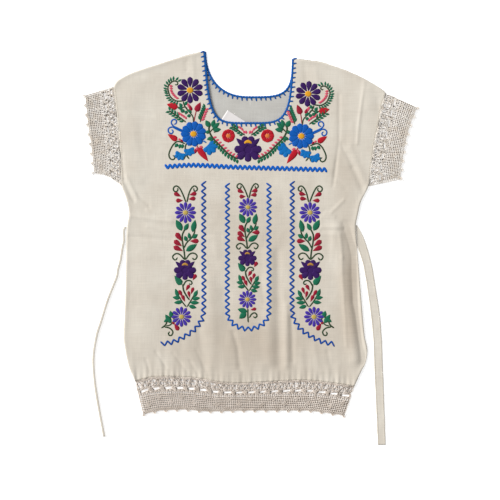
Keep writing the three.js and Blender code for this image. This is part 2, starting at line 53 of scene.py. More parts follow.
CLOTH = 1.2  # wall of the woven cotton in the frame
SHEET = 0.9  # thickness of the shown cloth
SEAM_GAP = 0.3
LOFT = 1.7  # how far the front lies off the back
SIDE_ROLL = 1.0  # extra height where the cloth turns round at a side seam
SIDE_ROLL_WIDTH = 7
NECK_CENTRE_X = 9
NECK_TOP_Y = 381
GATHERS = 40  # across the hem
GATHER_HEIGHT = 1.5
GATHER_REACH = 62  # how far up the cloth they run out
BACK_CREASE = 0.28  # the back is pressed between the front and the table, so its creases stay low
BACK_CREASE_TOP = 200  # above this height the back lies smooth

# The side of the garment down from the neck, as (y, x).
LEFT_SIDE = [
    (381, -99), (368, -146), (355, -187), (342, -228), (329, -260), (316, -279), (306, -284),
    (277, -281), (213, -274), (148, -269), (92, -267), (75, -261), (56, -255), (34, -252), (6, -256),
    (-67, -258), (-153, -260), (-234, -263), (-264, -259), (-295, -252), (-327, -239),
]
RIGHT_SIDE = [
    (365, 115), (360, 153), (353, 181), (342, 212), (329, 243), (316, 267), (303, 288), (293, 299),
    (267, 292), (224, 284), (181, 275), (138, 269), (92, 263), (75, 255), (56, 246), (34, 241),
    (6, 236), (-67, 241), (-153, 248), (-230, 255), (-262, 261), (-284, 258), (-307, 247), (-338, 233),
]
LEFT_OPENING = (306, 92)  # the heights between which the sleeve's lace is sewn on
RIGHT_OPENING = (293, 92)
OPENINGS_OUTSIDE = 200  # both openings lie further from the middle than this

# The gathered cloth's seam with the hem lace, and the lace's lower edge, as (x, y).
HEM_SEAM = [
    (-239, -327), (-198, -318), (-159, -317), (-99, -321), (-56, -329), (-13, -331), (88, -326),
    (123, -325), (178, -330), (233, -338),
]
HEM_EDGE = [
    (-220, -397), (-181, -389), (-133, -387), (-82, -391), (24, -389), (123, -389), (172, -394),
    (210, -400),
]
LEFT_CUFF_EDGE = [(286, -345), (234, -340), (170, -331), (120, -326)]
RIGHT_CUFF_EDGE = [(260, 366), (215, 349), (166, 338), (108, 330)]

# The rows of a panel: heights on the side down to the level of the neck's lowest point, and below it
# pairs of (height on the side, height on the centre line).
LEFT_NECK_ROWS = [381, 372, 362, 352, 342, 331, 319, 306, 288, 270, 252, 234, 216, 198]
RIGHT_NECK_ROWS = [365, 360, 352, 344, 335, 325, 314, 303, 293, 276, 257, 238, 218, 198]
BODY_ROWS = [(176, 196), (152, 166), (122, 130), (92, 96)] + [
    (y, y)
    for y in (75, 56, 34, 6, -30, -67, -110, -153, -195, -230, -255, -275, -292, -306, -317, -327)
]
HEM_BEND_START = -200


class Fold(NamedTuple):
    """A straight ridge in the cloth, or a trough where its height is negative."""

    x0: float
    y0: float
    x1: float
    y1: float
    width: float
    height: float


FOLD_REACH = 2.6  # widths from its line at which a fold has run out

FOLDS = [
    Fold(240, -60, 246, -170, 7, 1.5),  # the roll at the right side, and its foot
    Fold(247, -182, 256, -255, 7, 1.5),
    Fold(214, 8, 229, -36, 9, -2.8),  # the trough beside it: its head, middle and foot
    Fold(234, -48, 236, -158, 10, -3.8),
    Fold(238, -173, 253, -286, 9, -3.3),
    Fold(194, 0, 206, -90, 14, 2.6),  # the swell beside the trough
    Fold(210, -113, 234, -278, 13, 2.5),
    Fold(-215, -60, -212, -240, 30, 1.2),
    Fold(-78, -110, -68, -285, 16, 1.6),
    Fold(-44, -140, -36, -200, 13, -1.2),
    Fold(-27, -223, -18, -254, 5, -1.7),
    Fold(-17, -262, -14, -298, 5, -1.7),
    Fold(-36, -240, -32, -300, 12, 0.9),
    Fold(48, -50, 48, -285, 12, 1.6),  # the long folds over the right part of the hem
    Fold(69, -50, 70, -292, 9, -1.7),
    Fold(87, -165, 87, -292, 7, 1.8),
    Fold(-126, -246, -112, -290, 9, 0.8),  # over its left part
    Fold(-101, -214, -92, -294, 8, -1.2),
    Fold(-267, 161, -262, 107, 4, -0.9),  # the drag lines at the left sleeve's foot
    Fold(-262, 104, -243, 62, 4, -0.9),
    Fold(-256, 112, -234, 66, 4, 0.9),
    Fold(-240, 58, -218, 43, 4, -0.9),
    Fold(-232, 73, -208, 50, 3.5, -0.8),
    Fold(-246, 28, -160, 16, 4, 1.1),  # the creases that the waist ties draw in
    Fold(-250, -16, -160, -24, 4, -1.0),
    Fold(183, 36, 209, 61, 3.5, 0.9),
    Fold(200, 288, 200, 192, 3.5, -0.9),  # the right sleeve
    Fold(199, 184, 193, 138, 3.5, -0.9),
    Fold(192, 130, 187, 93, 3.5, -0.9),
    Fold(205, 181, 229, 134, 4, -1.0),
    Fold(231, 130, 254, 76, 6, -1.6),
    Fold(224, 176, 254, 104, 6, 0.8),
    Fold(254, 316, 250, 284, 3.5, 1.0),
    Fold(249, 278, 243, 232, 3.5, 1.0),
    Fold(242, 226, 239, 184, 3.5, 1.0),
    Fold(-250, 280, -240, 120, 24, 1.4),
]

# Finer creases, which the frame's solids leave out.
CREASES = [
    Fold(201, -12, 206, -60, 4, 0.8),  # the crest beside the right trough
    Fold(206, -60, 209, -160, 4, 0.8),
    Fold(210, -168, 216, -250, 4, 0.8),
    Fold(186, -12, 184, -70, 5, 0.4),
    Fold(98, -190, 100, -284, 5, -1.3),  # over the hem
    Fold(22, -262, 26, -308, 12, 0.8),
    Fold(-157, -267, -126, -307, 3.5, -1.0),
    Fold(-120, -284, -103, -314, 3.5, -0.9),
    Fold(-106, -260, -86, -304, 3.5, -0.7),
    Fold(-194, -264, -170, -297, 3.5, -1.0),
    Fold(-215, -280, -207, -307, 4, -0.9),
    Fold(31, -105, 41, -159, 5, -0.6),
    Fold(120, -262, 124, -310, 6, 0.6),
    Fold(146, -250, 156, -308, 7, 0.7),
    Fold(176, -262, 186, -314, 5, -0.8),
    Fold(-48, -252, -46, -310, 9, 0.4),
    Fold(-172, -240, -150, -272, 7, 0.6),
    Fold(-83, -10, -52, -15, 3.5, -0.7),  # at the middle of the waist
    Fold(-66, -14, -63, -58, 7, 0.6),
    Fold(-112, 40, -108, -90, 9, -0.4),
    Fold(96, 90, 94, -120, 10, 0.5),
    Fold(-211, 6, -168, -4, 3.5, 0.8),  # at the left waist
    Fold(-208, 48, -188, 43, 3.5, -0.6),
    Fold(-252, 76, -240, 62, 3.5, -0.5),
    Fold(-232, -52, -206, -60, 5, 0.5),
    Fold(163, 4, 217, 4, 3.5, 0.8),  # at the right waist
    Fold(163, -3, 221, -3, 3.5, -0.8),
    Fold(196, 24, 214, 8, 3.5, -0.8),
    Fold(168, -18, 196, -22, 4, -0.4),
    Fold(150, 22, 170, 40, 4, -0.5),
    Fold(193, 144, 191, 110, 4, -0.6),  # the right sleeve
    Fold(262, 300, 266, 262, 11, 1.0),
    Fold(281, 276, 285, 252, 5, -0.5),
    Fold(228, 226, 226, 178, 6, 0.4),
    Fold(190, 118, 214, 88, 4, -0.6),
    Fold(-255, 259, -202, 245, 5, -0.6),  # the left sleeve and the shoulders
    Fold(-226, 220, -222, 150, 9, -0.5),
    Fold(-130, 357, -127, 342, 4, -0.9),
    Fold(-116, 366, -112, 330, 5, 0.6),
    Fold(126, 352, 130, 312, 6, -0.6),
    Fold(150, 340, 158, 296, 8, 0.6),
]


class ShadePatch(NamedTuple):
    """A soft patch of painted shade: a warm darker tone where slopes and troughs of the cloth lie in shade.
    """

    x: float
    y: float
    reach_x: float
    reach_y: float
    depth: float


# Painted shade over the front's lower middle, its waist, the trough by its right side and the right sleeve.
SHADE_PATCHES = [
    ShadePatch(20, -250, 205, 90, 0.72),
    ShadePatch(222, -130, 24, 150, 0.88),
    ShadePatch(20, -20, 120, 130, 0.42),
    ShadePatch(215, 120, 40, 60, 0.4),
]


def lerp(a, b, share):
    return a + (b - a) * share


def clamp(value, low=0.0, high=1.0):
    return min(max(value, low), high)


def evenly(count, start=0.0, end=1.0):
    return [lerp(start, end, i / count) for i in range(count + 1)]


def smooth_curve(rows):
    """A smooth curve through (at, value) rows that never overshoots them."""
    ats, values = zip(*sorted(rows))
    steps = [b - a for a, b in zip(ats, ats[1:])]
    slopes = [(b - a) / step for a, b, step in zip(values, values[1:], steps)]
    tangents = [slopes[0]]
    for before, after in zip(slopes, slopes[1:]):
        same_way = before * after > 0
        tangents.append(2 * before * after / (before + after) if same_way else 0.0)
    tangents.append(slopes[-1])

    def value(at):
        i = min(max(bisect_left(ats, at) - 1, 0), len(steps) - 1)
        t = clamp((at - ats[i]) / steps[i])
        start = (1 + 2 * t) * (1 - t) ** 2 * values[i] + t * (1 - t) ** 2 * steps[i] * tangents[i]
        end = t * t * (3 - 2 * t) * values[i + 1] - t * t * (1 - t) * steps[i] * tangents[i + 1]
        return start + end

    return value


left_side = smooth_curve(LEFT_SIDE)
right_side = smooth_curve(RIGHT_SIDE)
hem_seam = smooth_curve(HEM_SEAM)
hem_edge = smooth_curve(HEM_EDGE)
left_cuff_edge = smooth_curve(LEFT_CUFF_EDGE)
right_cuff_edge = smooth_curve(RIGHT_CUFF_EDGE)


class Route:
    """A smooth line through points in plan, measured evenly along its length."""

    def __init__(self, points, fine=12):
        knots = [Vector(p) for p in points]
        if len(knots) > 2:
            ends = [2 * knots[0] - knots[1], *knots, 2 * knots[-1] - knots[-2]]
            knots = [ends[1]]
            for a, b, c, d in zip(ends, ends[1:], ends[2:], ends[3:]):
                for t in evenly(fine)[1:]:
                    bend = (2 * a - 5 * b + 4 * c - d) * t * t + (3 * b - a - 3 * c + d) * t**3
                    knots.append(b + ((c - a) * t + bend) / 2)
        self.points = knots
        self.lengths = [0.0]
        for a, b in zip(knots, knots[1:]):
            self.lengths.append(self.lengths[-1] + (b - a).length)
        self.length = self.lengths[-1]

    def at(self, share):
        target = clamp(share) * self.length
        i = min(max(bisect_left(self.lengths, target), 1), len(self.points) - 1)
        span = self.lengths[i] - self.lengths[i - 1]
        part = (target - self.lengths[i - 1]) / span if span else 0.0
        return self.points[i - 1].lerp(self.points[i], part)

    def ahead(self, share):
        """The direction that the line runs in."""
        reach = 0.004
        return (self.at(share + reach) - self.at(share - reach)).normalized()

    def left_of(self, share):
        ahead = self.ahead(share)
        return Vector((-ahead.y, ahead.x))


class Neckline(NamedTuple):
    """Half a neckline: a squared curve that narrows from the shoulder to its lowest point."""

    side: int
    depth: float
    top_half: float
    bottom_half: float
    square: float

    def route(self, shoulder_y):
        first = math.asin((NECK_TOP_Y - shoulder_y) / self.depth)
        points = []
        for turn in evenly(240, first, math.pi / 2):
            share = math.sin(turn)
            rounding = max(1 - share**self.square, 0.0) ** (1 / self.square)
            half = lerp(self.top_half, self.bottom_half, share) * rounding
            points.append((NECK_CENTRE_X + self.side * half, NECK_TOP_Y - self.depth * share))
        return Route(points, fine=1)


FRONT_NECK = (
    Neckline(-1, 156, 101, 87, 5).route(LEFT_NECK_ROWS[0]),
    Neckline(1, 156, 95, 88, 4.5).route(RIGHT_NECK_ROWS[0]),
)
BACK_NECK = (
    Neckline(-1, 100, 99, 95, 2.4).route(LEFT_NECK_ROWS[0]),
    Neckline(1, 100, 94, 94, 4).route(RIGHT_NECK_ROWS[0]),
)

# ---- How the cloth lies -------------------------------------------------------------------------


def closed_edges():
    """Points a millimetre apart along the shoulders, underarms and side seams, for a quick search."""
    places = []
    for side, rows, (top, bottom) in (
        (left_side, LEFT_SIDE, LEFT_OPENING),
        (right_side, RIGHT_SIDE, RIGHT_OPENING),
    ):
        along = Route([(side(y), y) for y in evenly(180, rows[0][0], rows[-1][0])], fine=1)
        places += [along.at(share) for share in evenly(round(along.length))]
        places = [p for p in places if not bottom < p.y < top or abs(p.x) < OPENINGS_OUTSIDE]
    tree = KDTree(len(places))
    for i, place in enumerate(places):
        tree.insert(place.to_3d(), i)
    tree.balance()
    return tree


edge_tree = closed_edges()


def fold_heights(folds, x, y):
    height = 0.0
    for fold in folds:
        reach = FOLD_REACH * fold.width
        if not min(fold.y0, fold.y1) - reach < y < max(fold.y0, fold.y1) + reach:
            continue
        if not min(fold.x0, fold.x1) - reach < x < max(fold.x0, fold.x1) + reach:
            continue
        run_x, run_y = fold.x1 - fold.x0, fold.y1 - fold.y0
        share = clamp(((x - fold.x0) * run_x + (y - fold.y0) * run_y) / (run_x**2 + run_y**2))
        off = math.hypot(x - fold.x0 - share * run_x, y - fold.y0 - share * run_y) / fold.width
        height += fold.height * math.exp(-off * off)
    return height


def gather_height(x, y):
    """The uneven waves that the hem is drawn into, highest at the seam with the lace."""
    up = (y - hem_seam(x)) / GATHER_REACH
    if up > 1.6:
        return 0.0
    across = (x - HEM_SEAM[0][0]) / (HEM_SEAM[-1][0] - HEM_SEAM[0][0])
    uneven = noise.noise(Vector((x / 31, 0.3, 4.0)))
    depth = 1 + 0.9 * noise.noise(Vector((x / 23, 7.1, 2.0)))
    fine = math.cos(2 * math.pi * GATHERS * across + 0.8 * uneven) * clamp(1 - 1.5 * up) ** 2
    broad = math.cos(2 * math.pi * 0.43 * GATHERS * across + 2.4 * uneven) * clamp(1 - up / 1.6) ** 2
    return GATHER_HEIGHT * depth * (0.42 * fine + 0.4 * broad)


def front_top(x, y):
    """Height of the front's right side."""
    off = edge_tree.find((x, y, 0))[2] / SIDE_ROLL_WIDTH
    lie = (LOFT + SIDE_ROLL * math.exp(-off * off)) * (1 - math.exp(-8 * off))
    wander = 2 * noise.noise(Vector((x / 55, y / 55, 1.0)))
    rumpled = 0.5 * noise.noise(Vector((x / 46, y / 70, 3.0)))
    rumpled += 0.16 * noise.noise(Vector((x / 13, y / 17, 5.0)))
    shaped = fold_heights(FOLDS, x, y) + fold_heights(CREASES, x + wander, y) + gather_height(x, y)
    return CLOTH + SEAM_GAP + max(lie + (shaped + rumpled) * clamp(3 * off), 0.0) + CLOTH


def painted_shade_at(x, y):
    """How much painted shade darkens the cloth at a place, from 0 to 1."""
    clean = 1.0
    for patch in SHADE_PATCHES:
        off = math.hypot((x - patch.x) / patch.reach_x, (y - patch.y) / patch.reach_y)
        clean *= 1 - patch.depth * math.exp(-off * off)
    return 1 - clean


def back_top(x, y):
    """Height of the back's wrong side: shallow creases like the front's, mirrored, and none at the neck."""
    other_x = HEM_SEAM[0][0] + HEM_SEAM[-1][0] - x
    shaped = fold_heights(FOLDS, other_x, y) + gather_height(other_x, y)
    return CLOTH + BACK_CREASE * math.tanh(shaped) * clamp((BACK_CREASE_TOP - y) / 40)


def bent(x, y):
    """A panel's rows bend to the hem's curve as they come down to it."""
    near = clamp((HEM_BEND_START - y) / (HEM_BEND_START - HEM_SEAM[0][1])) ** 2
    return y + (hem_seam(x) - HEM_SEAM[0][1]) * near


# ---- Materials ----------------------------------------------------------------------------------


def linear(hex_colour):
    """An sRGB hex colour as linear red, green, blue and alpha."""
    channels = [int(hex_colour[i : i + 2], 16) / 255 for i in (1, 3, 5)]
    return [c / 12.92 if c <= 0.04045 else ((c + 0.055) / 1.055) ** 2.4 for c in channels] + [1.0]


def node(tree, kind, inputs=None, **settings):
    """A new shader node. An input is a value, or another node's socket to link."""
    made = tree.nodes.new("ShaderNode" + kind)
    for name, value in settings.items():
        setattr(made, name, value)
    for name, value in (inputs or {}).items():
        if isinstance(value, bpy.types.NodeSocket):
            tree.links.new(value, made.inputs[name])
        else:
            made.inputs[name].default_value = value
    return made


def new_material(name, **sockets):
    """A material and its tree, with the sockets of its shader set by name."""
    made = bpy.data.materials.new(name)
    made.use_nodes = True
    shader = made.node_tree.nodes["Principled BSDF"]
    for socket, value in sockets.items():
        shader.inputs[socket.replace("_", " ")].default_value = value
    return made, made.node_tree, shader


def bands(tree, where, direction, period, distortion=0.0):
    """Soft ridges across a direction, one for each period in metres."""
    wave_length = math.pi / 10  # of the Wave Texture at a scale of 1
    return node(
        tree, "TexWave",
        {"Vector": where, "Scale": wave_length / period, "Distortion": distortion, "Detail Scale": 1.0},
        bands_direction=direction,
    ).outputs["Fac"]


def between(tree, value, low, high, first, second):
    """A colour that goes from the first to the second as a value rises from low to high."""
    share = node(tree, "MapRange", {"Value": value, "From Min": low, "From Max": high}).outputs[0]
    return node(tree, "Mix", {0: share, 6: first, 7: second}, data_type="RGBA").outputs[2]


def shaded(tree, colour, value, low, high, dark, light):
    """A colour times a grey that goes from dark to light as a value rises from low to high."""
    limits = {"Value": value, "From Min": low, "From Max": high, "To Min": dark, "To Max": light}
    share = node(tree, "MapRange", limits).outputs[0]
    grey = node(tree, "CombineColor", {0: share, 1: share, 2: share}).outputs[0]
    factors = {0: 1.0, 6: colour, 7: grey}
    return node(tree, "Mix", factors, data_type="RGBA", blend_type="MULTIPLY").outputs[2]


def surface(tree, shader, tone, relief, strength, depth):
    """Gives a shader its colour, and a relief of a depth in metres."""
    bump = node(tree, "Bump", {"Height": relief, "Strength": strength, "Distance": depth})
    tree.links.new(tone, shader.inputs["Base Color"])
    tree.links.new(bump.outputs[0], shader.inputs["Normal"])


def mottle(tree, where, size, stretch=(1, 1, 1), detail=3.0):
    """Cloudy noise whose patches are about that many metres across."""
    moved = node(tree, "Mapping", {"Vector": where, "Scale": [s / size for s in stretch]}).outputs["Vector"]
    return node(tree, "TexNoise", {"Vector": moved, "Scale": 1.0, "Detail": detail}).outputs["Fac"]


def unbleached_cotton(name, light, shade):
    """Unbleached plain-weave cotton, washed and pressed: matt, with thick and thin threads both ways.

    The threads are 0.55 mm apart on such cloth, and are drawn 1.1 mm apart so that they show.
    """
    made, tree, shader = new_material(
        name, Roughness=0.88, Specular_IOR_Level=0.25, Sheen_Weight=0.25, Sheen_Roughness=0.6
    )
    where = node(tree, "UVMap").outputs["UV"]
    thread = 1.1 * MM
    warp = bands(tree, where, "X", thread, 0.4)
    weft = bands(tree, where, "Y", thread, 0.4)
    crossing = node(tree, "Math", {0: warp, 1: weft}, operation="MULTIPLY").outputs[0]
    warp_slubs = mottle(tree, where, 1.3 * MM, (1, 0.03, 1))
    weft_slubs = mottle(tree, where, 1.5 * MM, (0.03, 1, 1))
    slubs = node(tree, "Math", {0: warp_slubs, 1: weft_slubs}, operation="ADD").outputs[0]
    cloudy = mottle(tree, where, 60 * MM, detail=4)
    tone = between(tree, cloudy, 0.35, 0.7, linear(light), linear(shade))
    # Painted shade: the tone goes towards a warm brown where the panel's painted shade is deep.
    painted_shade = node(tree, "Attribute", attribute_name="painted_shade").outputs["Fac"]
    tone = between(tree, painted_shade, 0, 1.25, tone, linear("#b5a592"))
    tone = shaded(tree, tone, slubs, 0.7, 1.35, 0.91, 1.05)
    tone = shaded(tree, tone, crossing, 0, 1, 0.93, 1.04)
    relief = node(tree, "Math", {0: crossing, 1: slubs}, operation="ADD").outputs[0]
    surface(tree, shader, tone, relief, 0.35, 0.25 * MM)
    return made


def crochet_cotton(name, light, shade):
    """Crochet cotton worked by hand: twisted strands, with a soft and dusty shade between them."""
    made, tree, shader = new_material(
        name, Roughness=0.8, Specular_IOR_Level=0.3, Sheen_Weight=0.3, Sheen_Roughness=0.5
    )
    where = node(tree, "TexCoord").outputs["Object"]
    cloudy = mottle(tree, where, 9 * MM)
    tone = between(tree, cloudy, 0.35, 0.65, linear(light), linear(shade))
    surface(tree, shader, tone, bands(tree, where, "DIAGONAL", 0.7 * MM, 1.5), 0.5, 0.15 * MM)
    return made


def embroidery_thread(name, colour):
    """Stranded cotton laid side by side in satin stitch, with a painted highlight along each thread's
    crown.

    The threads run across the stitch's u and are drawn 0.8 mm apart, one for two of the real ones.
    """
    made, tree, shader = new_material(
        name, Roughness=0.55, Specular_IOR_Level=0.1, Sheen_Weight=0.03, Sheen_Roughness=0.4
    )
    where = node(tree, "UVMap").outputs["UV"]
    threads = bands(tree, where, "X", 0.8 * MM, 0.6)
    uneven = mottle(tree, where, 1.6 * MM, (1, 0.15, 1))
    base = linear(colour)
    # Painted highlight and shade: the colour runs from deep between the threads to bright along their
    # crowns.
    deep = [c * 0.72 for c in base[:3]] + [1.0]
    bright = [min(c * 1.22 + 0.008, 1.0) for c in base[:3]] + [1.0]
    share = node(tree, "Math", {0: threads, 1: uneven}, operation="MULTIPLY").outputs[0]
    surface(tree, shader, between(tree, share, 0.05, 0.5, deep, bright), threads, 0.6, 0.2 * MM)
    return made


def woven_tape(name, colour):
    """Polyester satin tape, as on a garment's label: white, with a faint weft rib and a low sheen."""
    made, tree, shader = new_material(name, Roughness=0.45, Sheen_Weight=0.2)
    where = node(tree, "UVMap").outputs["UV"]
    ribs = bands(tree, where, "Y", 0.6 * MM, 0.2)
    surface(tree, shader, shaded(tree, linear(colour), ribs, 0, 1, 0.94, 1), ribs, 0.3, 0.1 * MM)
    return made


face_cotton = unbleached_cotton("unbleached_cotton_right_side", "#dfd8cb", "#d5ccbe")
# The wrong side is painted greyer and darker than the right side, as painted shade: it lies under the front
# and inside the back neck.
shaded_reverse_cotton = unbleached_cotton("unbleached_cotton_wrong_side_painted_shade", "#c7c5bf", "#bcb9b3")
cuff_cotton = crochet_cotton("ecru_crochet_cotton", "#fffaf3", "#f1e6d8")
hem_cotton = crochet_cotton("yellowed_crochet_cotton", "#f0e4d8", "#d9cbbd")
# The lower layer of lace is painted dark as painted shade, so that the upper layer's meshes show dark.
shaded_inner_cotton = crochet_cotton("crochet_cotton_painted_shade", "#aa9d90", "#988b7e")
label_tape = woven_tape("white_satin_tape", "#e6e1df")

THREAD_COLOURS = {
    "rim_blue": "#0f5aa6",
    "bright_blue": "#035ab4",
    "bell_blue": "#0570bc",
    "zigzag_blue": "#0860c2",
    "border_blue": "#0e54ac",
    "border_indigo": "#104a9e",
    "plum": "#36155a",
    "violet": "#4732a0",
    "leaf_green": "#176a4c",
    "stem_green": "#31492f",
    "red": "#b81426",
    "crimson": "#981730",
    "pink": "#d8546c",
    "yellow": "#e2a224",
    "gold": "#b8883c",
    "orange": "#dc7a3c",
    "straw": "#c4ac58",
    "ecru": "#d8cdbd",
}
threads = {name: embroidery_thread(name + "_thread", colour) for name, colour in THREAD_COLOURS.items()}

# ---- Meshes -------------------------------------------------------------------------------------


def cell_grid(bm, across, along):
    """A new grid of cells. Each vertex starts at its own (column, row)."""
    verts = bmesh.ops.create_grid(bm, x_segments=across, y_segments=along, size=0.5, calc_uvs=True)["verts"]
    bmesh.ops.translate(bm, verts=verts, vec=(0.5, 0.5, 0))
    bmesh.ops.scale(bm, verts=verts, vec=(across, along, 1))
    return verts


def faces_of(verts):
    return {face for vert in verts for face in vert.link_faces}


def face_up(bm):
    """Turns the faces of flat-lying work that look down."""
    bm.normal_update()
    bmesh.ops.reverse_faces(bm, faces=[face for face in bm.faces if face.normal.z < 0])


def plan_uv(bm, uv):
    """Lays the UV map of flat-lying cloth out as its own plan, in metres."""
    for face in bm.faces:
        for loop in face.loops:
            loop[uv].uv = loop.vert.co.xy * MM


def scale_uv(faces, uv, width, length, turned=False):
    """Gives a grid's UV map its real size in metres. turned swaps its two directions."""
    for face in faces:
        for loop in face.loops:
            across, along = loop[uv].uv.x * width * MM, loop[uv].uv.y * length * MM
            loop[uv].uv = (along, across) if turned else (across, along)


def put(name, data):
    """Adds an object to the scene."""
    made = bpy.data.objects.new(name, data)
    bpy.context.scene.collection.objects.link(made)
    return made


def finish_piece(name, bm, materials, replaced=(), thickness=0.0):
    """Makes a piece in metres, with its place in its mesh, and hands it to the frame."""
    bmesh.ops.scale(bm, verts=bm.verts, vec=(MM, MM, MM))
    mesh = bpy.data.meshes.new(name)
    for material in materials:
        mesh.materials.append(material)
    bm.to_mesh(mesh)
    bm.free()
    mesh.shade_smooth()
    piece = put(name, mesh)
    if thickness:
        shell = piece.modifiers.new("thickness", "SOLIDIFY")
        shell.thickness = thickness * MM
        shell.offset = -1.0
        shell.use_even_offset = False
    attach(piece, "root")
    if replaced:
        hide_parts(*replaced)
    return piece


# ---- The panels ---------------------------------------------------------------------------------


def row_stops(neck_rows, neck_steps, spacing):
    """Row numbers, with fractions, at which a panel is cut."""
    stops = evenly((len(neck_rows) - 1) * neck_steps, 0, len(neck_rows) - 1)
    heights = [neck_rows[-1]] + [side for side, _ in BODY_ROWS]
    for i, (above, below) in enumerate(zip(heights, heights[1:])):
        steps = max(round((above - below) / spacing), 1)
        start = len(neck_rows) - 1 + i
        stops += [start + share for share in evenly(steps)[1:]]
    return stops


def half_panel_place(side, neck_rows, neck, row, across):
    """The point of a half panel at a row number, from its side (0) to the neck or centre line (1)."""
    last_neck_row = len(neck_rows) - 1
    if row <= last_neck_row:
        i = min(int(row), last_neck_row - 1)
        outer_y = lerp(neck_rows[i], neck_rows[i + 1], row - i)
        inner = neck.at(row / last_neck_row)
        return Vector((side(outer_y), outer_y)).lerp(inner, across)
    rows = [(neck_rows[-1], neck.at(1).y)] + BODY_ROWS
    below = row - last_neck_row
    i = min(int(below), len(rows) - 2)
    outer_y = lerp(rows[i][0], rows[i + 1][0], below - i)
    outer_x = side(bent(side(outer_y), outer_y))
    inner_y = lerp(rows[i][1], rows[i + 1][1], below - i)
    place = Vector((outer_x, outer_y)).lerp(Vector((NECK_CENTRE_X, inner_y)), across)
    return Vector((place.x, bent(place.x, place.y)))


def denser_at_start(share):
    """Closes up the columns by the side seam, where the cloth turns down."""
    return share * lerp(0.5, 1, share)


def panel(name, node_name, necks, top, materials, columns, neck_steps, spacing):
    """A panel with its first material on the side that looks up, and its second on the other."""
    bm = bmesh.new()
    uv = bm.loops.layers.uv.new("UVMap")
    painted_shade = bm.verts.layers.float.new("painted_shade")
    halves = ((left_side, LEFT_NECK_ROWS, necks[0]), (right_side, RIGHT_NECK_ROWS, necks[1]))
    for side, neck_rows, neck in halves:
        stops = row_stops(neck_rows, neck_steps, spacing)
        for vert in cell_grid(bm, columns, len(stops) - 1):
            across = denser_at_start(round(vert.co.x) / columns)
            place = half_panel_place(side, neck_rows, neck, stops[round(vert.co.y)], across)
            vert.co = (place.x, place.y, top(place.x, place.y))
    bmesh.ops.remove_doubles(bm, verts=bm.verts, dist=0.01)
    face_up(bm)
    # Each point keeps the depth of the painted shade at its place.
    for vert in bm.verts:
        vert[painted_shade] = painted_shade_at(vert.co.x, vert.co.y)
    plan_uv(bm, uv)
    piece = finish_piece(name, bm, materials, [node_name], SHEET)
    piece.modifiers["thickness"].material_offset = 1
    return piece


# The back's upper side, seen inside the neck, carries the wrong side's painted shade.
front_cottons, back_cottons = [face_cotton, shaded_reverse_cotton], [shaded_reverse_cotton, face_cotton]
front = panel("front_cloth", "front_panel", FRONT_NECK, front_top, front_cottons, 112, 5, 3.6)
back = panel("back_cloth", "back_panel", BACK_NECK, back_top, back_cottons, 60, 5, 6)

# ---- Stitching ----------------------------------------------------------------------------------


class Spot(NamedTuple):
    """Where a motif sits: it is scaled, mirrored if need be, turned in degrees and moved."""

    x: float = 0
    y: float = 0
    turn: float = 0
    scale: float = 1
    mirror: int = 1

    def width_of(self, width):
        """Stitches keep nearly their own width where a motif is drawn smaller."""
        return width * self.scale**0.2

    def place(self, point):
        turn = math.radians(self.turn)
        x, y = point[0] * self.mirror * self.scale, point[1] * self.scale
        return Vector((
            self.x + x * math.cos(turn) - y * math.sin(turn),
            self.y + x * math.sin(turn) + y * math.cos(turn),
        ))

    def at(self, point):
        """The same spot, moved to a point of its motif."""
        place = self.place(point)
        return self._replace(x=place.x, y=place.y)


# The outline of a stitched shape: its half width at a share of its length.
def petal(share):
    return max(math.sin(math.pi * share**1.9), 0.0) ** 0.55


def leaf(share):
    return max(math.sin(math.pi * share**0.85), 0.0) ** 0.9


def bud(share):
    return max(math.sin(math.pi * share**0.6), 0.0) ** 0.85


def disc(share):
    return math.sqrt(max(1 - (2 * share - 1) ** 2, 0.0))


def cord(share):
    return clamp(min(share, 1 - share) * 40 + 0.25)


def stroke(share):
    return clamp(min(share, 1 - share) * 6 + 0.45)


def tooth(share):
    return lerp(1.0, 0.6, share) * clamp((1 - share) * 6)


def lobe(share):
    if share < 0.62:
        return lerp(0.7, 1.0, share / 0.62)
    return math.sqrt(max(1 - ((share - 0.62) / 0.38) ** 2, 0.0))


SPREAD = 1.09  # stitches bulge a little over the line that they are drawn on
STITCH_LIFT = 0.08  # of a stitch's edge over the cloth


class Needlework:
    """Raised satin stitches on one cloth, gathered into one piece."""

    def __init__(self, top):
        self.top = top
        self.bm = bmesh.new()
        self.uv = self.bm.loops.layers.uv.new("UVMap")
        self.colours = []

    def satin(self, colour, points, width, shape, rise=0.8, steps=7, across=4, lengthwise=False):
        """One stitched shape along a line, domed between its edges."""
        if colour not in self.colours:
            self.colours.append(colour)
        route = Route(points)
        half = width / 2 * SPREAD
        verts = cell_grid(self.bm, across, steps)
        for vert in verts:
            share = round(vert.co.y) / steps
            aside = 2 * round(vert.co.x) / across - 1
            span = half * shape(share)
            place = route.at(share) + route.left_of(share) * aside * span
            dome = rise * math.sqrt(1 - 0.96 * aside * aside) * clamp(span / half + 0.15)
            vert.co = (place.x, place.y, self.top(place.x, place.y) + STITCH_LIFT + dome)
        faces = faces_of(verts)
        for face in faces:
            face.material_index = self.colours.index(colour)
        scale_uv(faces, self.uv, width, route.length, turned=not lengthwise)

    def finish(self, name):
        bmesh.ops.remove_doubles(self.bm, verts=self.bm.verts, dist=0.004)
        face_up(self.bm)
        materials = [threads[colour] for colour in self.colours]
        return finish_piece(name, self.bm, materials, thickness=0.3)


def flower(work, spot, radius, petals, colour, heart, heart_colour, turn=0.0, fill=0.92):
    """A round flower: petals of long stitches about a raised heart."""
    width = 2 * math.pi * radius * 0.66 / petals * fill
    for i in range(petals):
        angle = 2 * math.pi * (i + turn) / petals
        ahead = Vector((math.cos(angle), math.sin(angle)))
        points = [spot.place(ahead * heart * 0.7), spot.place(ahead * radius)]
        work.satin(colour, points, width * spot.scale, petal, steps=8, lengthwise=True)
    dot(work, spot, (0, 0), heart, heart_colour)


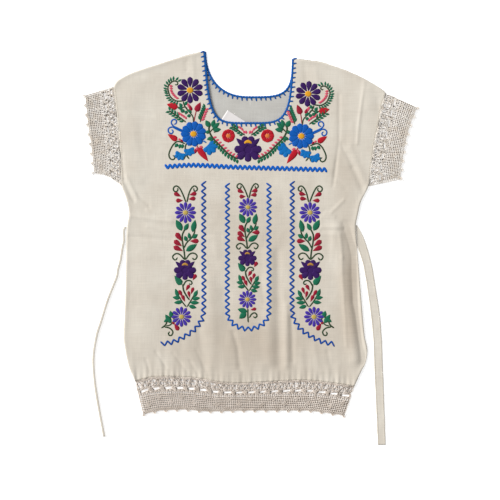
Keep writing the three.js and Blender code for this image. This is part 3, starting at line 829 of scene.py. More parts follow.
def dot(work, spot, at, radius, colour, rise=1.1, squash=1.0):
    """A round of satin stitch."""
    x, y = at
    points = [spot.place((x, y - radius * squash)), spot.place((x, y + radius * squash))]
    work.satin(colour, points, 2 * radius * spot.scale, disc, rise=rise, steps=8, across=6)


def shapes(work, spot, shape, **rows_by_colour):
    """Leaves or buds of one shape. Each has its width, its root's x and y, and its tip's x and y."""
    for colour, rows in rows_by_colour.items():
        for width, x0, y0, x1, y1 in rows:
            ends = [spot.place((x0, y0)), spot.place((x1, y1))]
            work.satin(colour, ends, spot.width_of(width), shape)


def dashes(work, spot, colour, points, count, length, width, lean):
    """Slanting stitches side by side along a line. lean is their angle from the x axis, in degrees."""
    turn = math.radians(lean)
    half = Vector((math.cos(turn), math.sin(turn))) * length / 2
    line = Route(points)
    for share in evenly(count - 1):
        ends = [spot.place(line.at(share) - half), spot.place(line.at(share) + half)]
        work.satin(colour, ends, spot.width_of(width), leaf)


def stem(work, spot, points, colour="stem_green", width=2.9):
    """A stem or tendril, stitched along a curve."""
    placed = [spot.place(p) for p in points]
    steps = max(round(Route(placed).length / 3), 4)
    work.satin(colour, placed, spot.width_of(width), cord, rise=0.6, steps=steps, across=3)


def fern(work, spot, points, leaves, length, width, lean=48, stem_width=2.8):
    """A stem with leaves down its two sides. leaves holds (side, colour, count, first, last)."""
    stem(work, spot, points, width=stem_width)
    route = Route([spot.place(p) for p in points])
    for side, colour, count, first, last in leaves:
        for share in evenly(max(count - 1, 1), first, last)[:count]:
            turn = math.radians(lean) * side * spot.mirror
            ahead = route.ahead(share)
            away = Vector((
                ahead.x * math.cos(turn) - ahead.y * math.sin(turn),
                ahead.x * math.sin(turn) + ahead.y * math.cos(turn),
            ))
            root = route.at(share) + away * 1.2
            work.satin(colour, [root, root + away * length * spot.scale], width * spot.scale, leaf, steps=5)


# A bloom's lobes as (tip x, tip y, width), for one that is 60 mm across.
ROUND_LOBES = [
    (-30, -1, 15), (30, -1, 15), (-22.5, -21, 15.5), (22.5, -21, 15.5), (0, -28.5, 13.5),
    (-18, 17, 12), (18, 17, 12), (-9, 27.5, 14), (9, 27.5, 14),
]
POINTED_LOBES = [(-25.5, 23, 9.5), (25.5, 23, 9.5)]


def lobed_bloom(work, spot, wide, high, colour, heart_colour):
    """A many-lobed bloom seen half from the side, with two pointed sepals and a domed heart."""
    across, up = wide / 30, high / 28
    dot(work, spot, (0, 0), 19 * across, colour, rise=0.6, squash=up / across)
    for shape, lobes in ((lobe, ROUND_LOBES), (leaf, POINTED_LOBES)):
        for x, y, width in lobes:
            root = spot.place((0.25 * x * across, (0.25 * y - 1) * up))
            tip = spot.place((x * across, y * up))
            work.satin(colour, [root, tip], width * across * spot.scale, shape, steps=9, lengthwise=True)
    dome = ((-8.6, 11), (-4.5, 14.6), (0, 15.8), (4.5, 14.6), (8.6, 11))
    heart = [spot.place((x * across, y * up)) for x, y in dome]
    work.satin(heart_colour, heart, 7.4 * up * spot.scale, disc, rise=1.5, steps=10)


def bell(work, spot, x, y, size, facing):
    """A small bell flower that opens towards an angle, in degrees."""
    middle = math.radians(facing)
    root = Vector((x, y)) - Vector((math.cos(middle), math.sin(middle))) * size * 0.55
    for i in range(5):
        angle = middle + math.radians(lerp(-72, 72, i / 4))
        ahead = Vector((math.cos(angle), math.sin(angle)))
        reach = size * (1.75 if i in (1, 2, 3) else 1.3)
        points = [spot.place(root), spot.place(root + ahead * reach)]
        work.satin("bell_blue", points, size * 0.85 * spot.scale, petal, steps=7, lengthwise=True)
    dot(work, spot, (x, y), size * 0.6, "bell_blue", rise=0.75)


def zigzag(work, colour, points, pitch, depth, width):
    """A border of slanting stitches: two to each pitch, as deep as that from crest to crest."""
    route = Route(points)
    count = round(route.length / pitch * 2)
    corners = []
    for i, share in enumerate(evenly(count)):
        corners.append(route.at(share) + route.left_of(share) * depth / 2 * (-1) ** i)
    for start, end in zip(corners, corners[1:]):
        over = (end - start).normalized() * width * 0.3
        work.satin(colour, [start - over, end + over], width, stroke, rise=0.7, steps=5, across=3)


# ---- The yoke's embroidery ----------------------------------------------------------------------


def corner_spray(work, spot, daisy_spot):
    """A blue flower with sprays about it, and a daisy with its fern above."""
    stem(work, daisy_spot, [(0, 24), (-2, 38), (-15, 54), (-21, 64), (-22, 71)], width=2.6)
    fern(
        work, daisy_spot,
        [(-22, 71), (-37, 71), (-49, 79), (-54, 91), (-55, 101), (-50, 109), (-42, 114), (-34, 111),
         (-36, 105), (-40, 107)],
        [(1, "leaf_green", 16, 0.12, 0.86)], 10, 4.2, lean=62,
    )
    dashes(work, daisy_spot, "pink", [(-48, 103), (-47, 91), (-39, 80), (-35, 77)], 7, 8.5, 4.4, -12)
    flower(work, daisy_spot.at((-7.5, 94)), 29, 10, "plum", 6.6, "yellow", turn=0.5, fill=0.93)
    shapes(
        work, daisy_spot, bud,
        red=[(14, -33.5, 57, -57.5, 64)],
        crimson=[(12, 5, 47.5, 15, 68.5), (7, -5, 49.5, -8, 62.5)],
        pink=[(5, -12, 66, -9, 54)],
    )
    stem(work, daisy_spot, [(1, 26), (3, 38), (6, 50)], "crimson", 2)
    shapes(
        work, daisy_spot, leaf,
        leaf_green=[
            (7, -24.5, 57.5, -30.5, 66.5), (7, -23.5, 56, -33.5, 55), (7, -19.5, 52.5, -27.5, 46.5),
            (7, -15, 50.5, -17, 41.5), (7, -12.5, 52.5, -3.5, 45.5), (7, -5.5, 40, -14.5, 38),
            (6.5, -18.5, 61.5, -13.5, 70.5),
        ],
        stem_green=[(4, -35, 57, -26, 56)],
    )
    stem(work, daisy_spot, [(-13, 55), (-20, 58), (-27, 53), (-25, 47), (-20, 48), (-21, 52)], width=2.6)
    dashes(work, spot, "pink", [(-31, 44), (-24, 40), (-17, 35)], 4, 8.5, 4.4, 122)
    fern(work, spot, [(-16, 25), (-28, 34), (-40, 42), (-52, 50)],
         [(1, "leaf_green", 6, 0.1, 0.92), (-1, "leaf_green", 4, 0.45, 0.95)], 10.5, 4.7, lean=42)
    fern(work, spot, [(14, 25), (18, 37), (26, 57)],
         [(1, "leaf_green", 7, 0.12, 0.95), (-1, "pink", 5, 0.1, 0.8)], 10, 4.5, lean=46)
    for curl in (
        [(-20, 6), (-33, 12), (-43, 17), (-48, 24), (-44, 31), (-37, 29), (-38, 22), (-43, 21)],
        [(-20, 3), (-36, 10), (-46, 15), (-54, 11), (-53, 3), (-46, 1), (-44, 7), (-48, 9)],
    ):
        stem(work, spot, curl, "bright_blue")
    shapes(work, spot, bud, red=[(11.5, -34.5, -13.5, -55.5, -0.5)])
    shapes(
        work, spot, leaf,
        pink=[(4.5, -33, -10, -27, -14)],
        crimson=[(4.5, -28, -12, -22, -18)],
        leaf_green=[
            (7, -33.5, -20.5, -40.5, -28.5), (7, -28, -21.5, -31, -31.5), (7, -23, -21.5, -25, -31.5),
        ],
    )
    stem(work, spot, [(-18, -21), (-33, -16), (-42, -21), (-49, -32), (-53, -44), (-50, -53), (-43, -55),
                      (-40, -49), (-45, -46)])
    stem(work, spot, [(-15, -19), (-18, -30), (-17, -44), (-22, -56)])
    stem(work, spot, [(-17, -44), (-9, -54)])
    bell(work, spot, -29, -46, 9.5, 250)
    bell(work, spot, -9, -37, 9.5, 285)
    bell(work, spot, 36, -29, 12.8, 318)
    stem(work, spot, [(20, -14), (28, -19)], "bell_blue", 3)
    stem(work, spot, [(6, -24), (12, -32)], "crimson", 2.2)
    shapes(work, spot, bud, red=[(13, 9.5, -29, 31.5, -59)])
    shapes(
        work, spot, leaf,
        pink=[(5.5, 9, -28, 4, -38), (5.5, 12, -27, 21, -29)],
        crimson=[(6, 6, -30.5, 3, -42.5)],
    )
    flower(work, spot, 28, 11, "bright_blue", 6.4, "yellow", turn=0.5, fill=1.25)


def garland(work, spot):
    """The curved branch from under the blue flower to the middle bloom, with the red flower above it."""
    branch = [(-80, 52), (-84, 44), (-80, 30), (-71, 18), (-58, 5), (-43, -10), (-22, -22)]
    fern(work, spot, branch,
         [(-1, "leaf_green", 11, 0.3, 0.98)], 10, 6, lean=56, stem_width=3.6)
    fern(work, spot, branch, [(1, "pink", 9, 0.3, 0.93)], 8.6, 4.5, lean=60, stem_width=3.6)
    shapes(work, spot, leaf, leaf_green=[
        (10.5, -82, 46.5, -91, 61.5), (9, -77, 46.5, -72, 63.5), (9, -76.5, 43.5, -60.5, 56.5),
        (9.5, -75.5, 40, -57.5, 42), (7.5, -82, 36, -92, 36), (8, -75.5, 24, -88.5, 20),
    ])
    stem(work, spot, [(-81, 36), (-76, 42), (-70, 41), (-70, 36), (-74, 36)], width=2.6)
    flower(work, spot.at((-42, 28)), 14.5, 8, "red", 4.6, "orange", fill=1.5)
    fern(work, spot, [(-6, 29), (-15, 35), (-24, 42), (-34, 48)],
         [(1, "leaf_green", 5, 0.12, 0.9), (-1, "leaf_green", 3, 0.6, 0.95)], 9, 5.4, lean=44)
    shapes(work, spot, leaf, pink=[
        (4.5, -6, 33, -11, 40), (4.5, -10, 39, -16, 46), (4.5, -3, 32, -5, 40), (4.5, -14, 43, -21, 49),
    ])


YOKE_X = 4.3
YOKE_Y = 172


def yoke_embroidery():
    work = Needlework(front_top)
    left = Spot(-112.6, 204)
    right = Spot(119, 199.4, mirror=-1)
    corner_spray(work, left, left)
    corner_spray(work, right, right._replace(turn=-4.6, scale=0.975))
    for mirror in (1, -1):
        garland(work, Spot(YOKE_X, YOKE_Y, mirror=mirror))
    lobed_bloom(work, Spot(YOKE_X, YOKE_Y), 30, 28, "plum", "yellow")
    border = [(-173, 133.5), (-113, 137), (-20, 132.5), (90, 129.5), (173, 127)]
    zigzag(work, "zigzag_blue", border, 10, 8.2, 4.8)
    return work.finish("yoke_embroidery")


# ---- The three columns of flowers ---------------------------------------------------------------


LEFT_COLUMN_X = -129.9
MIDDLE_COLUMN_X = 3.9
RIGHT_COLUMN_X = 137.5
DAISY_Y = 35.1  # the middles of a side column's flowers
BLOOM_Y = -87.7
LOW_DAISY = (-8.6, -188.6)
MIDDLE_SCALE = 0.885  # the middle column is smaller, about its own upper daisy
MIDDLE_DAISY_Y = 46.7


def column_head(work, spot):
    """The two curled tendrils with red drops at the top."""
    stem(work, spot, [(1, 57), (-6, 75), (-13, 88), (-20, 92.5), (-26, 88), (-25, 82), (-20, 80),
                      (-16, 84), (-18, 88)])
    stem(work, spot, [(3, 57), (7, 75), (13, 88), (20, 92.5), (25.5, 87), (23, 81.5), (18, 82.5), (18, 88)])
    shapes(work, spot, petal, crimson=[
        (8.5, -9, 69.5, -25, 77.5), (8.5, -5, 61, -21, 61), (8.5, 8, 73, 24, 77), (8.5, 6, 64, 22, 66),
    ])


def column_middle(work, spot):
    """The stem between the upper daisy and the bloom, with its leaves and drops."""
    shapes(work, spot, leaf, leaf_green=[
        (12.5, -7.5, -4, -20.5, 20), (11, 15, -7, 21, 20), (9, -2.5, -3.5, 6.5, 12.5),
        (8, 3, -26.5, -2, -14.5), (7, 9, -21.5, 7, -7.5), (8.5, 14.5, -19.5, 26.5, -11.5),
        (11.5, 1, -47.5, 25, -32.5),
    ])
    stem(work, spot, [(6, 10), (-2, -2), (-7, -14), (-6, -31), (-3, -48), (-1, -67)], width=3.2)
    stem(work, spot, [(-4, -42), (3, -29), (12, -20), (19, -8), (20, 4)], width=2.9)
    shapes(work, spot, petal, crimson=[
        (10.5, -7.5, -27, -20.5, -8), (10, -7, -37.5, -25, -24.5), (10, -5, -47.5, -26, -37.5),
        (9.5, 9, -26, 29, -26),
    ])
    stem(work, spot, [(-2, -66), (-12, -55), (-21, -53), (-28, -60), (-22, -67), (-17, -61)])
    stem(work, spot, [(0, -66), (9, -54), (18, -52), (25, -58), (20, -66), (14, -62)])


def column_lower(work, spot):
    """The stem between the bloom and the lower daisy, with its leaves and drops."""
    shapes(work, spot, bud, leaf_green=[(12.5, -8, -120, -24, -100)])
    stem(work, spot, [(-5, -123), (-1, -114.5), (5, -110.5), (12, -112), (14, -117), (10, -119.5),
                      (8, -116.5)])
    shapes(work, spot, petal, crimson=[(8, 15.5, -110.5, 22.5, -97)])
    stem(work, spot, [(-6, -118), (-4, -132), (3, -145), (9, -153)], width=3.2)
    shapes(work, spot, petal, crimson=[
        (7, -5.5, -147, -14.5, -131), (7, -1, -157, -7.5, -141.5), (7, 0.5, -133, 8.5, -119.5),
        (6.5, 11.5, -140.5, 17, -125), (6, 9.5, -149, 6, -133),
    ])
    stem(work, spot, [(2, -168), (-8, -155), (-15, -143)], width=2.6)
    stem(work, spot, [(3, -168), (12, -153), (19, -141)], width=2.6)
    shapes(work, spot, leaf, leaf_green=[
        (8, -15, -147, -22, -128), (8, -11, -149, -28, -146.5), (8, -6, -156.5, -25, -158.5),
        (8, 18, -146, 26, -131), (8, 14, -150.5, 32, -148), (8, 10, -158, 30, -158.5),
        (8, 7, -165, 24, -169.5),
    ])


def side_column_foot(work, spot):
    """The sprig under a side column's lower daisy, which leans outwards."""
    stem(work, spot, [(-26, -184), (-38, -196), (-43, -206), (-52, -213)], width=3)
    stem(work, spot, [(-46, -210), (-34, -213), (-27, -221), (-31, -229), (-37, -226), (-34, -220)])
    stem(work, spot, [(-28, -186), (-25, -196), (-33, -206), (-42, -208)], width=2.6)
    shapes(work, spot, leaf, leaf_green=[
        (10.5, -30.5, -202.5, -43.5, -183.5), (9, -29, -190.5, -33, -175.5),
        (6.5, -37.5, -194, -46.5, -200),
    ])
    shapes(work, spot, petal, crimson=[(9, -24.5, -202, -14.5, -218), (5.5, -30.5, -200, -23.5, -203)])


def middle_column_foot(work, spot):
    """The sprig under the middle column's lower daisy."""
    stem(work, spot, [(0, -170), (0, -186), (1, -201)], width=3)
    stem(work, spot, [(3, -191), (8, -183), (15, -180), (20, -186), (15, -191), (12, -187)])
    shapes(work, spot, leaf, leaf_green=[
        (10.5, -1, -178, -22, -172), (12, -3.5, -179.5, -18.5, -192.5),
    ])
    shapes(work, spot, petal, crimson=[(6.5, 5.5, -174, 18.5, -171)])


def column(work, spot, bloom_size, low_daisy):
    """A column of flowers: a daisy, a bloom and a lower daisy on their stem."""
    column_head(work, spot)
    column_middle(work, spot)
    column_lower(work, spot)
    for middle, radius in (((0, DAISY_Y), 23.4), (low_daisy, 22.2)):
        flower(work, spot.at(middle), radius, 12, "violet", 5, "straw", fill=0.87)
    lobed_bloom(work, spot.at((-1, BLOOM_Y)), *bloom_size, "plum", "gold")


def column_embroidery():
    work = Needlework(front_top)
    for x, mirror in ((LEFT_COLUMN_X, 1), (RIGHT_COLUMN_X, -1)):
        spot = Spot(x, mirror=mirror)
        column(work, spot, (24.4, 22), LOW_DAISY)
        side_column_foot(work, spot)
    middle_y = MIDDLE_DAISY_Y - DAISY_Y * MIDDLE_SCALE
    spot = Spot(MIDDLE_COLUMN_X, middle_y, scale=MIDDLE_SCALE)
    column(work, spot, (23, 20.5), (-1, LOW_DAISY[1]))
    middle_column_foot(work, Spot(MIDDLE_COLUMN_X))
    return work.finish("column_embroidery")


def border_stitching():
    """The zigzag borders: one beside each outer column and one round the foot of the middle one."""
    work = Needlework(front_top)
    outer = [(-91, 102), (-91, -30), (-91, -172), (-99, -201), (-115, -220), (-152, -241), (-182, -247)]
    zigzag(work, "border_indigo", outer, 14.2, 9.6, 3.4)
    zigzag(work, "border_indigo", [(8.2 - x, y) for x, y in outer], 14.2, 9.6, 3.4)
    foot = [(-40, 98), (-40, -30), (-40, -172), (-36, -192), (-22, -208), (4.6, -215)]
    other = [(9.2 - x, y) for x, y in reversed(foot[:-1])]
    zigzag(work, "border_blue", foot + other, 13.7, 9.6, 3.4)
    return work.finish("border_stitching")


yoke_embroidery()
column_embroidery()
border_stitching()

# ---- The neck's rim -----------------------------------------------------------------------------

RIM_PITCH = 10.2  # from tooth to tooth
RIM_OFF = 2.3  # the rim's middle lies this far inside the neck edge
TUBE_STEPS = 0.7  # rings of points to a millimetre of cord


def tube(bm, uv, route, radius, height, sides, squash=0.62, lobes=0.0, twist=7.0):
    """A closed cord along a route. lobes is how deep its two strands groove it, as they twist."""
    steps = max(round(route.length * TUBE_STEPS), 3)
    verts = cell_grid(bm, sides, steps)
    scale_uv(faces_of(verts), uv, 2 * math.pi * radius, route.length, turned=True)
    for vert in verts:
        share = round(vert.co.y) / steps
        turn = 2 * math.pi * (round(vert.co.x) % sides) / sides
        grooved = radius * (1 + lobes * math.cos(2 * turn - 2 * math.pi * share * route.length / twist))
        place = route.at(share) - route.left_of(share) * math.cos(turn) * grooved
        vert.co = (place.x, place.y, height(place) + math.sin(turn) * grooved * squash)
    bmesh.ops.remove_doubles(bm, verts=verts, dist=0.005)
    ends = [edge for edge in bm.edges if edge.is_boundary]
    bmesh.ops.holes_fill(bm, edges=ends, sides=sides + 2)


def neck_rim(name, node_name, necks, top, height):
    """Blanket stitch in crochet cotton: a twisted rim with a tooth worked into the cloth at each pitch."""
    left, right = ([neck.at(share) for share in evenly(60)] for neck in necks)
    line = Route(left + right[-2::-1], fine=2)
    inside = Route([line.at(share) + line.left_of(share) * RIM_OFF for share in evenly(150)], fine=1)
    rim = bmesh.new()
    uv = rim.loops.layers.uv.new("UVMap")
    tube(rim, uv, inside, 2.3, lambda place: height, sides=10, lobes=0.14, twist=6.5)
    bmesh.ops.recalc_face_normals(rim, faces=rim.faces)
    finish_piece(name, rim, [threads["rim_blue"]], [node_name])
    teeth = Needlework(top)
    count = round(line.length / RIM_PITCH)
    for i, share in enumerate(evenly(count)):
        slant = line.ahead(share) * 1.6
        out = -line.left_of(share)
        root = line.at(share) - out * 1.2
        reach = 7.2 + 0.8 * math.sin(2.3 * i)
        teeth.satin("rim_blue", [root, root + out * reach + slant], 3.9, tooth, rise=1.0, steps=6, across=4)
    return teeth.finish(name + "_teeth")


neck_rim("front_neck_rim", "neck_rim_front", FRONT_NECK, front_top, 3.8)
neck_rim("back_neck_rim", "neck_rim_back", BACK_NECK, back_top, 1.35)

# ---- The crocheted lace -------------------------------------------------------------------------

LACE = 1.5  # wall of the lace in the frame
CORD = 1.7  # the crocheted cords, which are drawn thicker than the real ones so that they show
MATTED_CORD = 2.15  # and the lower layer's, which have matted with wear
SCALLOP = 4.5  # depth of the scallops at the edge
COLUMNS = 6  # cells in one repeat
SLOT_COLUMNS = (1, 5)  # the first cell of a slot, and the first past it

# Bands of rows across the lace: (name, share of the depth where it ends, rows).
LACE_BANDS = [
    ("foot", 0.05, 1), ("posts", 0.22, 2), ("rib", 0.27, 1), ("slots", 0.38, 2), ("rib", 0.43, 1),
    ("net", 0.90, 8), ("edge", 1.0, 1),
]
SLOT_MIDDLE = 0.325  # of the depth
NET = (0.43, 0.90)  # where the net starts and ends


def lace_rows():
    """The band that each row of cells is in, and the shares of the depth between which the rows lie."""
    names, shares = [], [0.0]
    for name, end, count in LACE_BANDS:
        start = shares[-1]
        names += [(name, i) for i in range(count)]
        shares += evenly(count, start, end)[1:]
    return names, shares


def lace_cell(column, band, row):
    """A cell is open, or dense with crossing threads, or part of the slot with its name."""
    step = column % COLUMNS
    if band == "slots" and SLOT_COLUMNS[0] <= step < SLOT_COLUMNS[1]:
        return ("slot", column // COLUMNS)
    if band == "posts":
        return "dense" if (column + row) % 3 == 0 else "open"
    if band == "net":
        motif_row = 2 if column // COLUMNS % 2 else 5
        return "dense" if abs(step - COLUMNS / 2) + abs(row - motif_row) <= 1 else "open"
    if band == "rib":
        return "dense" if column % 2 == 0 else "open"
    return "dense"


def lace_band(name, replaced, cotton, seam, edge, repeats, underside, shift, draw_in, pinch):
    """A crocheted band between its seam and its scalloped edge, as a net of real cords.

    Its far end is drawn in by a few millimetres between its two corners. shift is 1 for the layer
    below, whose meshes lie half a mesh aside of the upper one's. pinch closes the slots.
    """
    names, shares = lace_rows()
    columns = repeats * COLUMNS
    bm = bmesh.new()
    verts = cell_grid(bm, columns, len(names))
    cells = {}
    for face in bm.faces:
        middle = face.calc_center_median()
        column, row = int(middle.x), int(middle.y)
        cells[face] = lace_cell(column, *names[row])
    merged = []
    for line in bm.edges:
        sides = [cells[face] for face in line.link_faces]
        if len(sides) == 2 and sides[0][0] == "slot" and sides[0] == sides[1]:
            merged.append(line)
    dense = [face for face in bm.faces if cells[face] == "dense"]
    far_end = (seam(0) - seam(1)).normalized() * draw_in
    for vert in verts:
        column, row = round(vert.co.x), round(vert.co.y)
        inside = 0.5 * shift * (0 < column < columns)
        share, depth = (column + inside) / columns, shares[row]
        if NET[0] < depth < NET[1]:
            depth += inside * (shares[row + 1] - depth)
        depth -= pinch * (depth - SLOT_MIDDLE) * math.exp(-(((depth - SLOT_MIDDLE) / 0.08) ** 2))
        drawn = 0.3 / repeats * noise.noise(Vector((share * 50, depth * 7, repeats))) * (1 - depth)
        start, end = seam(clamp(share + drawn)), edge(share)
        step = (column / COLUMNS) % 1
        slanted = 0.03 * (1 - 2 * step) * math.exp(-(((depth - SLOT_MIDDLE) / 0.1) ** 2))
        place = start.lerp(end, depth + slanted) + far_end * math.sin(math.pi * depth) * share**8
        if row == len(names):
            place += (end - start).normalized() * SCALLOP * 0.5 * ((2 * abs(step - 0.5)) ** 4 - 1)
        wrinkle = noise.noise(Vector((share * repeats * 2.6, depth * 1.6, 2.0 + shift)))
        lift = underside(place) + LACE / 2 + max(wrinkle * 1.6 * (1 - 0.7 * depth), -0.6) * (1 - shift)
        vert.co = (place.x, place.y, lift)
    bmesh.ops.poke(bm, faces=dense)
    bmesh.ops.dissolve_edges(bm, edges=merged, use_verts=True)
    face_up(bm)
    bmesh.ops.wireframe(
        bm, faces=bm.faces, thickness=lerp(CORD, MATTED_CORD, shift),
        use_replace=True, use_boundary=True, use_even_offset=False,
    )
    uv = bm.loops.layers.uv.new("UVMap")
    for i in range(repeats + 1):
        tip = edge(i / repeats)
        out = (tip - seam(i / repeats)).normalized()
        picot(bm, uv, tip, out, underside(tip) + LACE / 2)
    return finish_piece(name, bm, [cotton], replaced)


def picot(bm, uv, tip, out, height):
    """A knot of three chain stitches at a scallop's point."""
    aside = Vector((-out.y, out.x))
    loop = [
        tip - aside * 2.4 - out, tip - aside * 1.9 + out * 1.6, tip + out * 2.5,
        tip + aside * 1.9 + out * 1.6, tip + aside * 2.4 - out,
    ]
    tube(bm, uv, Route(loop, fine=3), 1.1, lambda place: height, sides=6, squash=0.9)


def flat_underside(_place):
    return 0.0


def folded_underside(start, end):
    """The upper layer of a tube of lace comes down to the lower one at its two closed ends."""
    along = end - start

    def underside(place):
        share = clamp((place - start).dot(along) / along.length_squared)
        off = min(share, 1 - share) * along.length / SIDE_ROLL_WIDTH
        return LACE + SEAM_GAP + LOFT * (1 - math.exp(-2 * off))

    return underside


def lace_tube(name, cotton, seam, edge, repeats, draw_in=0, pinch=0):
    upper = folded_underside(seam(0).lerp(edge(0), 0.5), seam(1).lerp(edge(1), 0.5))
    depth = (edge(0.5) - seam(0.5)).length * MM
    # The back layer carries the lower lace's painted shade.
    layers = (("back", shaded_inner_cotton, flat_underside, 1), ("front", cotton, upper, 0))
    for layer, material, underside, shift in layers:
        net = f"{name}_lace_{layer}_net"
        replaced = [f"{name}_lace_{layer}"]
        piece = lace_band(net, replaced, material, seam, edge, repeats, underside, shift, draw_in, pinch)


def hem_seam_at(share):
    """The point at a share of the hem's width, where the lace is sewn on."""
    x = lerp(HEM_SEAM[0][0] + 1, HEM_SEAM[-1][0] - 1, share)
    return Vector((x, hem_seam(x) - 0.7))


def hem_edge_at(share):
    x = lerp(HEM_EDGE[0][0], HEM_EDGE[-1][0], share)
    return Vector((x, hem_edge(x) - SCALLOP / 2))


def side_line(side, start, end, off):
    """A line along a side or a cuff's edge between two heights, moved off it by a little."""

    def at(share):
        y = lerp(start, end, share)
        return Vector((side(y) + off, y))

    return at


lace_tube("hem", hem_cotton, hem_seam_at, hem_edge_at, 18, pinch=0.25)
lace_tube(
    "left_cuff", cuff_cotton,
    side_line(left_side, LEFT_OPENING[0] - 1, LEFT_OPENING[1] + 1, -0.7),
    side_line(left_cuff_edge, LEFT_CUFF_EDGE[0][0], LEFT_CUFF_EDGE[-1][0], -SCALLOP / 2),
    8, draw_in=8, pinch=0.6,
)
lace_tube(
    "right_cuff", cuff_cotton,
    side_line(right_side, RIGHT_OPENING[1] + 1, RIGHT_OPENING[0] - 1, 0.7),
    side_line(right_cuff_edge, RIGHT_CUFF_EDGE[-1][0], RIGHT_CUFF_EDGE[0][0], SCALLOP / 2),
    8, pinch=0.6,
)

# ---- The ties -----------------------------------------------------------------------------------

TIE = 1.8  # thickness of the flat tie in the frame
TIE_WIDTH = 20  # flat
RIGHT_TIE = [  # (y, inner x, outer x); the root slants out from under the side seam
    (8, 236, 239), (-6, 236, 247), (-27, 236, 256), (-52, 244, 264), (-80, 252, 271), (-135, 261, 280),
    (-187, 268, 288), (-241, 273, 292), (-295, 275, 294), (-401, 280, 298), (-464, 283, 300),
]
LEFT_TIE = [  # (x, y) down the middle of the folded tie
    (-258.8, 5), (-263, -4), (-262.5, -24), (-266, -42), (-270, -67), (-275.5, -88), (-277.5, -102),
    (-285, -121), (-297.5, -153), (-311.5, -198), (-321, -229), (-328, -274), (-326, -321), (-318, -376),
    (-305, -446),
]


def right_tie():
    """A flat tie, its edges turned in and stitched down."""
    inner_edge = smooth_curve([(y, inner) for y, inner, _ in RIGHT_TIE])
    outer_edge = smooth_curve([(y, outer) for y, _, outer in RIGHT_TIE])
    top_y, foot_y = RIGHT_TIE[0][0], RIGHT_TIE[-1][0]
    across, along = 12, 150
    bm = bmesh.new()
    uv = bm.loops.layers.uv.new("UVMap")
    verts = cell_grid(bm, across, along)
    for vert in verts:
        column, row = round(vert.co.x), round(vert.co.y)
        y = lerp(top_y, foot_y, row / along)
        seam = right_side(y) + SEAM_GAP + 0.3
        inner = max(inner_edge(y), seam)
        aside = column / across
        x = lerp(inner, outer_edge(y), aside) + 0.5 * noise.noise(Vector((y / 21, aside, 8.0)))
        rim = math.exp(-((min(aside, 1 - aside) * 20 - 1.6) / 1.3) ** 2) * 0.35
        wave = 0.25 * noise.noise(Vector((x / 9, y / 26, 4.0)))
        vert.co = (x, y, TIE + rim + wave)
    face_up(bm)
    plan_uv(bm, uv)
    piece = finish_piece("right_tie_strap", bm, [face_cotton], ["right_tie"], 1.5)

    sewing = Needlework(lambda _x, _y: TIE + 0.15)
    for near in (0.12, 0.88):
        points = [
            (lerp(max(inner_edge(y), right_side(y) + 0.6), outer_edge(y), near), y)
            for y in evenly(24, -40, foot_y + 3)
        ]
        run_stitches(sewing, Route(points), 3.4, 0.9)
    sewing.finish("right_tie_sewing")


def run_stitches(work, route, pitch, width):
    """A row of short stitches along a line, each a pitch from the last."""
    count = round(route.length / pitch)
    for i in range(count):
        start, end = route.at((i + 0.14) / count), route.at((i + 0.86) / count)
        work.satin("ecru", [start, end], width, stroke, rise=0.35, steps=3, across=2)


def folded_section(width, layers, thickness, pitch):
    """The outline of a strap folded to and fro in layers, as (aside, up) round both its sides."""
    bend = pitch / 2
    straight = width / 2 - bend - thickness / 2
    middle = []
    for i in range(layers):
        way = 1 if i % 2 == 0 else -1
        up = thickness / 2 + i * pitch
        middle += [(-way * straight, up), (way * straight, up)]
        if i < layers - 1:
            for turn in (-45, 0, 45):
                turn = math.radians(turn)
                middle.append((way * (straight + bend * math.cos(turn)), up + bend * (1 + math.sin(turn))))
    line = Route(middle, fine=1)
    shares = evenly(36)
    sides = []
    for off in (thickness / 2, -thickness / 2):
        sides.append([line.at(share) + line.left_of(share) * off for share in shares])
    return sides[0] + sides[1][::-1]


def left_tie():
    """The same strap, folded in four along its length."""
    route = Route(LEFT_TIE)
    outline = folded_section(5.2, 4, 0.8, 1.05)
    sides, steps = len(outline), 150
    bm = bmesh.new()
    uv = bm.loops.layers.uv.new("UVMap")
    verts = cell_grid(bm, sides, steps)
    scale_uv(faces_of(verts), uv, 2 * TIE_WIDTH, route.length)
    for vert in verts:
        share = round(vert.co.y) / steps
        aside, up = outline[round(vert.co.x) % sides]
        wider = 1 + 0.1 * noise.noise(Vector((share * 9, 1.0, 3.0)))
        place = route.at(share) + route.left_of(share) * aside * wider
        vert.co = (place.x, place.y, up)
    bmesh.ops.remove_doubles(bm, verts=verts, dist=0.005)
    bmesh.ops.holes_fill(bm, edges=[edge for edge in bm.edges if edge.is_boundary], sides=sides + 2)
    bmesh.ops.recalc_face_normals(bm, faces=bm.faces)
    piece = finish_piece("left_tie_strap", bm, [face_cotton], ["left_tie"])


right_tie()
left_tie()

# ---- Label and seams ----------------------------------------------------------------------------


def neck_label():
    """A plain tape label, sewn flat inside the back neck, with its short ends turned under."""
    across, along = 24, 14
    width, height = 48, 28
    spot = Spot(-27, 231, turn=-33)
    bm = bmesh.new()
    uv = bm.loops.layers.uv.new("UVMap")
    verts = cell_grid(bm, across, along)
    for vert in verts:
        x, y = width * (vert.co.x / across - 0.5), height * (vert.co.y / along - 0.5)
        place = spot.place((x, y))
        turned = 0.25 * math.exp(-(((width / 2 - abs(x)) - 3) / 2.4) ** 2)
        vert.co = (place.x, place.y, CLOTH + SEAM_GAP + 0.75 + turned)
    face_up(bm)
    scale_uv(bm.faces, uv, width, height)
    piece = finish_piece("label_tape_piece", bm, [label_tape], ["neck_label"], 0.6)


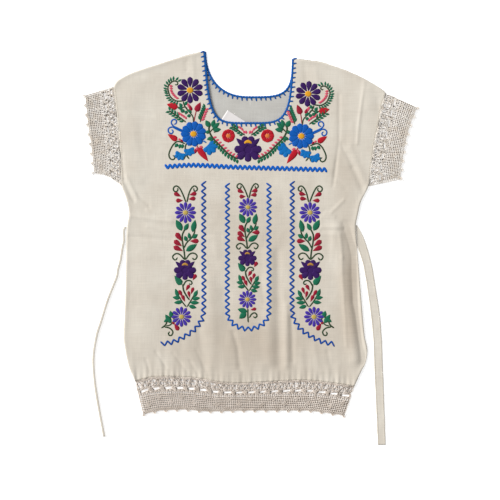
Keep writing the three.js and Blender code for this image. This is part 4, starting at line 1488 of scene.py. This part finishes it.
def seam_stitching():
    """The rows of stitches that hold the lace to the cloth."""
    work = Needlework(front_top)
    hem = Route([hem_seam_at(share) + Vector((0, 3.2)) for share in evenly(60)], fine=1)
    run_stitches(work, hem, 5.4, 1.1)
    left = side_line(left_side, LEFT_OPENING[0] - 4, LEFT_OPENING[1] + 3, 3.0)
    right = side_line(right_side, RIGHT_OPENING[0] - 4, RIGHT_OPENING[1] + 3, -3.0)
    for line in (left, right):
        run_stitches(work, Route([line(share) for share in evenly(30)], fine=1), 4.2, 1.0)
    work.finish("lace_seam_stitching")


neck_label()
seam_stitching()

# ---- Floor, light and camera ---------------------------------------------------------------------


def light_table():
    """Opal acrylic, as on a light table: white, matt, and lit from below so that it shows no shadows."""
    made, tree, shader = new_material("opal_acrylic_light_table", Roughness=0.9, Specular_IOR_Level=0.1)
    shader.inputs["Emission Color"].default_value = (1, 1, 1, 1)
    shader.inputs["Emission Strength"].default_value = 0.5
    where = node(tree, "TexCoord").outputs["Object"]
    tone = between(tree, mottle(tree, where, 4 * MM), 0.3, 0.7, linear("#fafafa"), linear("#f6f6f6"))
    tree.links.new(tone, shader.inputs["Base Color"])
    bm = bmesh.new()
    bmesh.ops.create_grid(bm, x_segments=4, y_segments=4, size=3)
    mesh = bpy.data.meshes.new("floor")
    mesh.materials.append(made)
    bmesh.ops.translate(bm, verts=bm.verts, vec=(0, 0, -0.3 * MM))
    bm.to_mesh(mesh)
    bm.free()
    put("floor", mesh)


def window_light():
    """Daylight from a large window, low on the upper left."""
    lamp = bpy.data.lights.new("window", "SUN")
    lamp.energy = 3.9
    lamp.angle = math.radians(28)
    ahead = Vector((1.0, -0.55, -0.66))
    put("window", lamp).rotation_euler = ahead.to_track_quat("-Z", "Y").to_euler()


def studio():
    light_table()
    world = bpy.data.worlds.new("studio")
    world.use_nodes = True
    sky = world.node_tree.nodes["Background"]
    sky.inputs["Color"].default_value = (1, 1, 1, 1)
    sky.inputs["Strength"].default_value = 0.45
    bpy.context.scene.world = world
    bpy.context.scene.view_settings.view_transform = "Standard"
    window_light()


def overhead_camera():
    """Straight above a point a little below the waist."""
    image_side, pixel = 500, 2.15 * MM
    lens, sensor = 120.0, 36.0
    data = bpy.data.cameras.new("overhead")
    data.lens = lens
    data.sensor_width = sensor
    camera = put("overhead", data)
    camera.location = (8.6 * MM, -45.15 * MM, image_side * pixel * lens / sensor)
    bpy.context.scene.camera = camera


studio()
overhead_camera()
